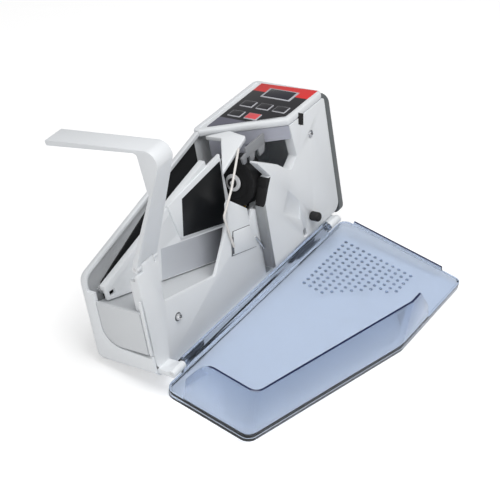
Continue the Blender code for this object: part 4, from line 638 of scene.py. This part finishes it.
for column in range(12):
    for row in range(12):
        along, out = 142.4 + 5.07 * column, 12.5 + 4.9 * row
        if any((b[0] - a[0]) * (out - a[1]) - (b[1] - a[1]) * (along - a[0]) > 0 for a, b in field_sides):
            continue
        place = Vector((body_corner.x + along * MM, 0.0, 0.0)) + hinge_line
        over = place + tray_out * out * MM + tray_up * 20 * MM
        spot, facing, _, _ = tray_form.ray_cast(over, -tray_up)
        if not spot or facing.dot(tray_up) < level_enough:
            continue
        copy = bpy.data.objects.new("tray_dimple", dimple.data.copy())
        bpy.context.collection.objects.link(copy)
        copy.matrix_world = Matrix.Translation(spot - tray_up * bedded) @ stand_up
        dimples.append(copy)
bpy.ops.object.select_all(action="DESELECT")
for copy in dimples:
    copy.select_set(True)
bpy.context.view_layer.objects.active = dimples[0]
bpy.ops.object.join()
field = bpy.context.object
field.name = "tray_dimples"
bpy.ops.object.transform_apply(location=True, rotation=True, scale=True)
bpy.ops.object.shade_smooth_by_angle(angle=math.radians(60))
fitted(field, clear_blue, "tray", "tray_plastic")
bpy.data.objects.remove(dimple)

# Studio
# A white paper floor that glows a little for the camera, a white surround that lights less than it
# shows, a broad lamp overhead and a smaller one from the hopper's side.
bpy.ops.object.select_all(action="DESELECT")
bpy.ops.mesh.primitive_plane_add(size=8.0, location=(0.0, 0.0, cad_low.z))
floor = bpy.context.object
floor.name = "studio_floor"
paper = bpy.data.materials.new("white paper")
paper.use_nodes = True
tree = paper.node_tree
shader = tree.nodes["Principled BSDF"]
shader.inputs["Base Color"].default_value = (0.9, 0.9, 0.9, 1.0)
shader.inputs["Roughness"].default_value = 0.9
shader.inputs["Emission Color"].default_value = (1.0, 1.0, 1.0, 1.0)
rays = tree.nodes.new("ShaderNodeLightPath")
most, lift = tree.nodes.new("ShaderNodeMath"), tree.nodes.new("ShaderNodeMath")
most.operation, lift.operation = "MAXIMUM", "MULTIPLY"
tree.links.new(rays.outputs["Is Camera Ray"], most.inputs[0])
tree.links.new(rays.outputs["Is Transmission Ray"], most.inputs[1])
tree.links.new(most.outputs[0], lift.inputs[0])
paper_glow = 0.30
lift.inputs[1].default_value = paper_glow
tree.links.new(lift.outputs[0], shader.inputs["Emission Strength"])
floor.data.materials.append(paper)

world = bpy.data.worlds.new("white surround")
bpy.context.scene.world = world
world.use_nodes = True
tree = world.node_tree
background = tree.nodes["Background"]
background.inputs["Color"].default_value = (1.0, 1.0, 1.0, 1.0)
rays, most = tree.nodes.new("ShaderNodeLightPath"), tree.nodes.new("ShaderNodeMath")
most.operation = "MAXIMUM"
tree.links.new(rays.outputs["Is Camera Ray"], most.inputs[0])
tree.links.new(rays.outputs["Is Transmission Ray"], most.inputs[1])
level = tree.nodes.new("ShaderNodeMapRange")
surround_light, surround_seen = 0.30, 1.0
level.inputs["To Min"].default_value = surround_light
level.inputs["To Max"].default_value = surround_seen
tree.links.new(most.outputs[0], level.inputs["Value"])
tree.links.new(level.outputs["Result"], background.inputs["Strength"])


def lamp(name, place, aim, size, power):
    """A square soft box at place, turned to face aim."""
    light = bpy.data.lights.new(name, "AREA")
    light.shape = "SQUARE"
    light.size = size
    light.energy = power
    holder = bpy.data.objects.new(name, light)
    bpy.context.collection.objects.link(holder)
    holder.location = place
    holder.rotation_euler = (Vector(aim) - Vector(place)).to_track_quat("-Z", "Y").to_euler()


aim = (0.0, 0.0, 0.05)
lamp("overhead box", (0.0, -0.3, 1.2), aim, 0.9, 10.5)
lamp("left box", (-1.05, -0.2, 0.65), aim, 0.6, 3.2)

# Camera
# A short telephoto view from the hopper end, a little above the note arm, as in the photograph.
camera_place = Vector((-0.67468, -0.40888, 0.70761))
camera_rows = ((0.5606, 0.5078, -0.6541), (-0.8264, 0.392568, -0.403596), (0.051865, 0.766807, 0.639845))
lens = bpy.data.cameras.new("photo view")
lens.lens = 111.21
lens.sensor_width = 36.0
lens.clip_start = 0.01
camera = bpy.data.objects.new("photo view", lens)
bpy.context.collection.objects.link(camera)
camera.matrix_world = Matrix.Translation(camera_place) @ Matrix(camera_rows).to_4x4()
bpy.context.scene.camera = camera
bpy.context.scene.view_settings.view_transform = "Standard"
